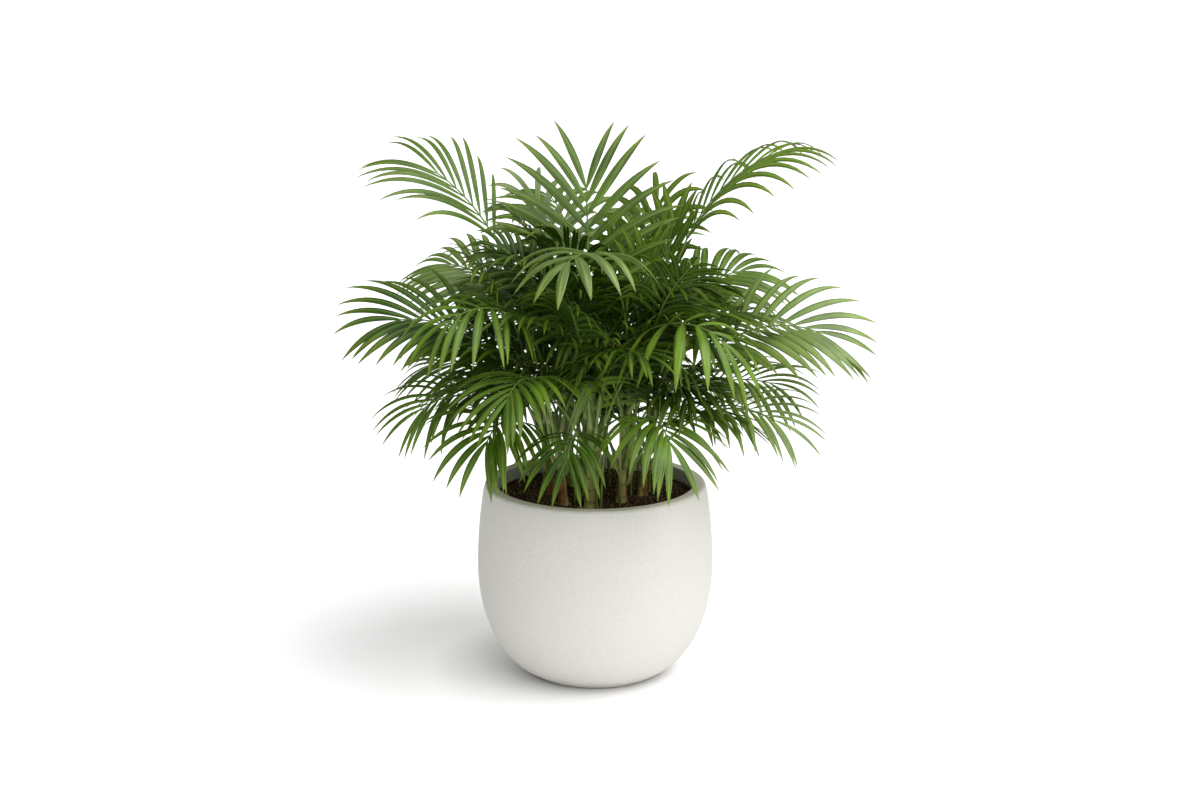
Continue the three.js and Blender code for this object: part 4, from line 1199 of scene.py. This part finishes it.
def dry_sheath(cane):
    facing, height = rng.uniform(0, 360), rng.uniform(*SHEATH_HEIGHT)
    share = np.linspace(0, 1, SHEATH_POINTS)
    middle, _, radius = zip(*[cane_at(cane, s * height / cane["length"]) for s in share])
    away = heading(facing)
    off = np.array(radius) + SHEATH_OFF + rng.uniform(*SHEATH_CURL) * share ** CURL_BEND
    points = np.array(middle) + away * off[:, None] - UP * SHEATH_SUNK * (1 - share[:, None])
    widths = rng.uniform(*SHEATH_WIDTH) * (1 - share ** SHEATH_TAPER) + SHEATH_TIP
    return points, widths, np.tile(away, (SHEATH_POINTS, 1))


clad = [cane for name, cane in CANES.items() if name != "front"]
strips = [dry_sheath(cane) for cane in clad for _ in range(SHEATHS_EACH)]
sheath_finish = plain_material("dry_sheath", 0.25, (168, 118, 66), (98, 62, 34), Scale=120.0, Detail=4.0,
                               Smooth=0.6, Rough=0.85)
dry = run_tree(SWEEP, paths_mesh("sheath_paths", strips), "dry_sheaths",
               {"Sides": 8, "Flatness": 0.22, "Fold": 0.35, "Finish": sheath_finish})
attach(dry, "root")

# %% [markdown]
# ## Floor, light and camera
#
# The plant stands on a white floor that runs out of sight in every direction. The main light comes from a
# large soft source, high up on the right and a little to the front. A weaker one, lower and from the front
# right, reaches under the leaves. Both are sun lamps with a wide angle, so their soft shadows are the same
# everywhere, and a plain white world fills in the rest. The floor also glows a little, though it is no
# lamp:
# painted light that lightens its shadows. Close round the pot the glow fades out, which paints a darker
# contact shadow there.
#
# The camera stands in front of the plant and a little above it, so that the rim shows as a narrow ellipse.
# Its long lens keeps the sides of the pot from leaning.

# %% Stage
FLOOR_SIZE = 60
LIGHTS = {  # strength, width in degrees, degrees above the floor, and degrees round from the front
    "key_light": (2.05, 46, 62, 76),
    "front_light": (1.2, 50, 33, 28),
}
WORLD_STRENGTH = 0.25
# The floor's glow is painted light. Close round the pot it fades out, which paints a contact shadow there.
FLOOR_PAINTED_GLOW = 0.37
PAINTED_GLOW_FROM, PAINTED_GLOW_TO = 0.1, 0.25  # metres from the pot's middle where the glow starts and where it is full
WHITE, BLACK = srgb(255, 255, 255), srgb(0, 0, 0)

bpy.ops.mesh.primitive_plane_add(size=FLOOR_SIZE)
floor = bpy.context.object
floor.name = "floor"
floor_finish, floor_recipe, floor_shader = new_material("pale_floor", Roughness=0.9, Specular_IOR_Level=0.0)
mottled(floor_recipe, floor_shader, (254, 254, 254), (253, 253, 253), Scale=4.0, Detail=2.0, Smooth=0.9,
        Rough=0.92)
# Painted light and shade: the floor glows away from the pot, and not close round it.
from_pot = floor_recipe.add("ShaderNodeVectorMath", (floor_recipe.place(),), out=1, operation="LENGTH")
painted_glow = floor_recipe.mix(floor_recipe.blend(from_pot, PAINTED_GLOW_FROM, PAINTED_GLOW_TO, 0, 1), BLACK, WHITE)
floor_recipe.plug(painted_glow, floor_shader, "Emission Color")
floor_shader.inputs["Emission Strength"].default_value = FLOOR_PAINTED_GLOW
floor.data.materials.append(floor_finish)
floor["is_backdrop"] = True

for name, (strength, *angles) in LIGHTS.items():
    width, above, round_to_right = (math.radians(a) for a in angles)
    light = bpy.data.objects.new(name, bpy.data.lights.new(name, "SUN"))
    light.data.energy = strength
    light.data.angle = width
    light.rotation_euler = (math.pi / 2 - above, 0, round_to_right)
    scene.collection.objects.link(light)

world = bpy.data.worlds.new("room")
world.use_nodes = True
world.node_tree.nodes["Background"].inputs["Color"].default_value = (1, 1, 1, 1)
world.node_tree.nodes["Background"].inputs["Strength"].default_value = WORLD_STRENGTH
scene.world = world
scene.view_settings.view_transform = "Standard"
print("lights", LIGHTS, "fill", WORLD_STRENGTH)

# %% Camera
AIM = (0.0071, 0.0, 0.414)
DISTANCE = 3.43
PITCH = 13.4
LENS = 70
SENSOR = 36

pitch = math.radians(PITCH)
camera = bpy.data.objects.new("camera", bpy.data.cameras.new("camera"))
camera.data.lens = LENS
camera.data.sensor_width = SENSOR
camera.location = (AIM[0], AIM[1] - DISTANCE * math.cos(pitch), AIM[2] + DISTANCE * math.sin(pitch))
camera.rotation_euler = (math.pi / 2 - pitch, 0, 0)
scene.collection.objects.link(camera)
scene.camera = camera
print("camera at", [round(x, 3) for x in camera.location])

# %% [markdown]
# ## Measure and finish
#
# The dressed plant must take up the same room as its solids. Both boxes are printed.

# %% Size
seen_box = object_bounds()
for label, box in (("solids", cad_box), ("dressed", seen_box)):
    print(label, [[round(x, 3) for x in corner] for corner in box])
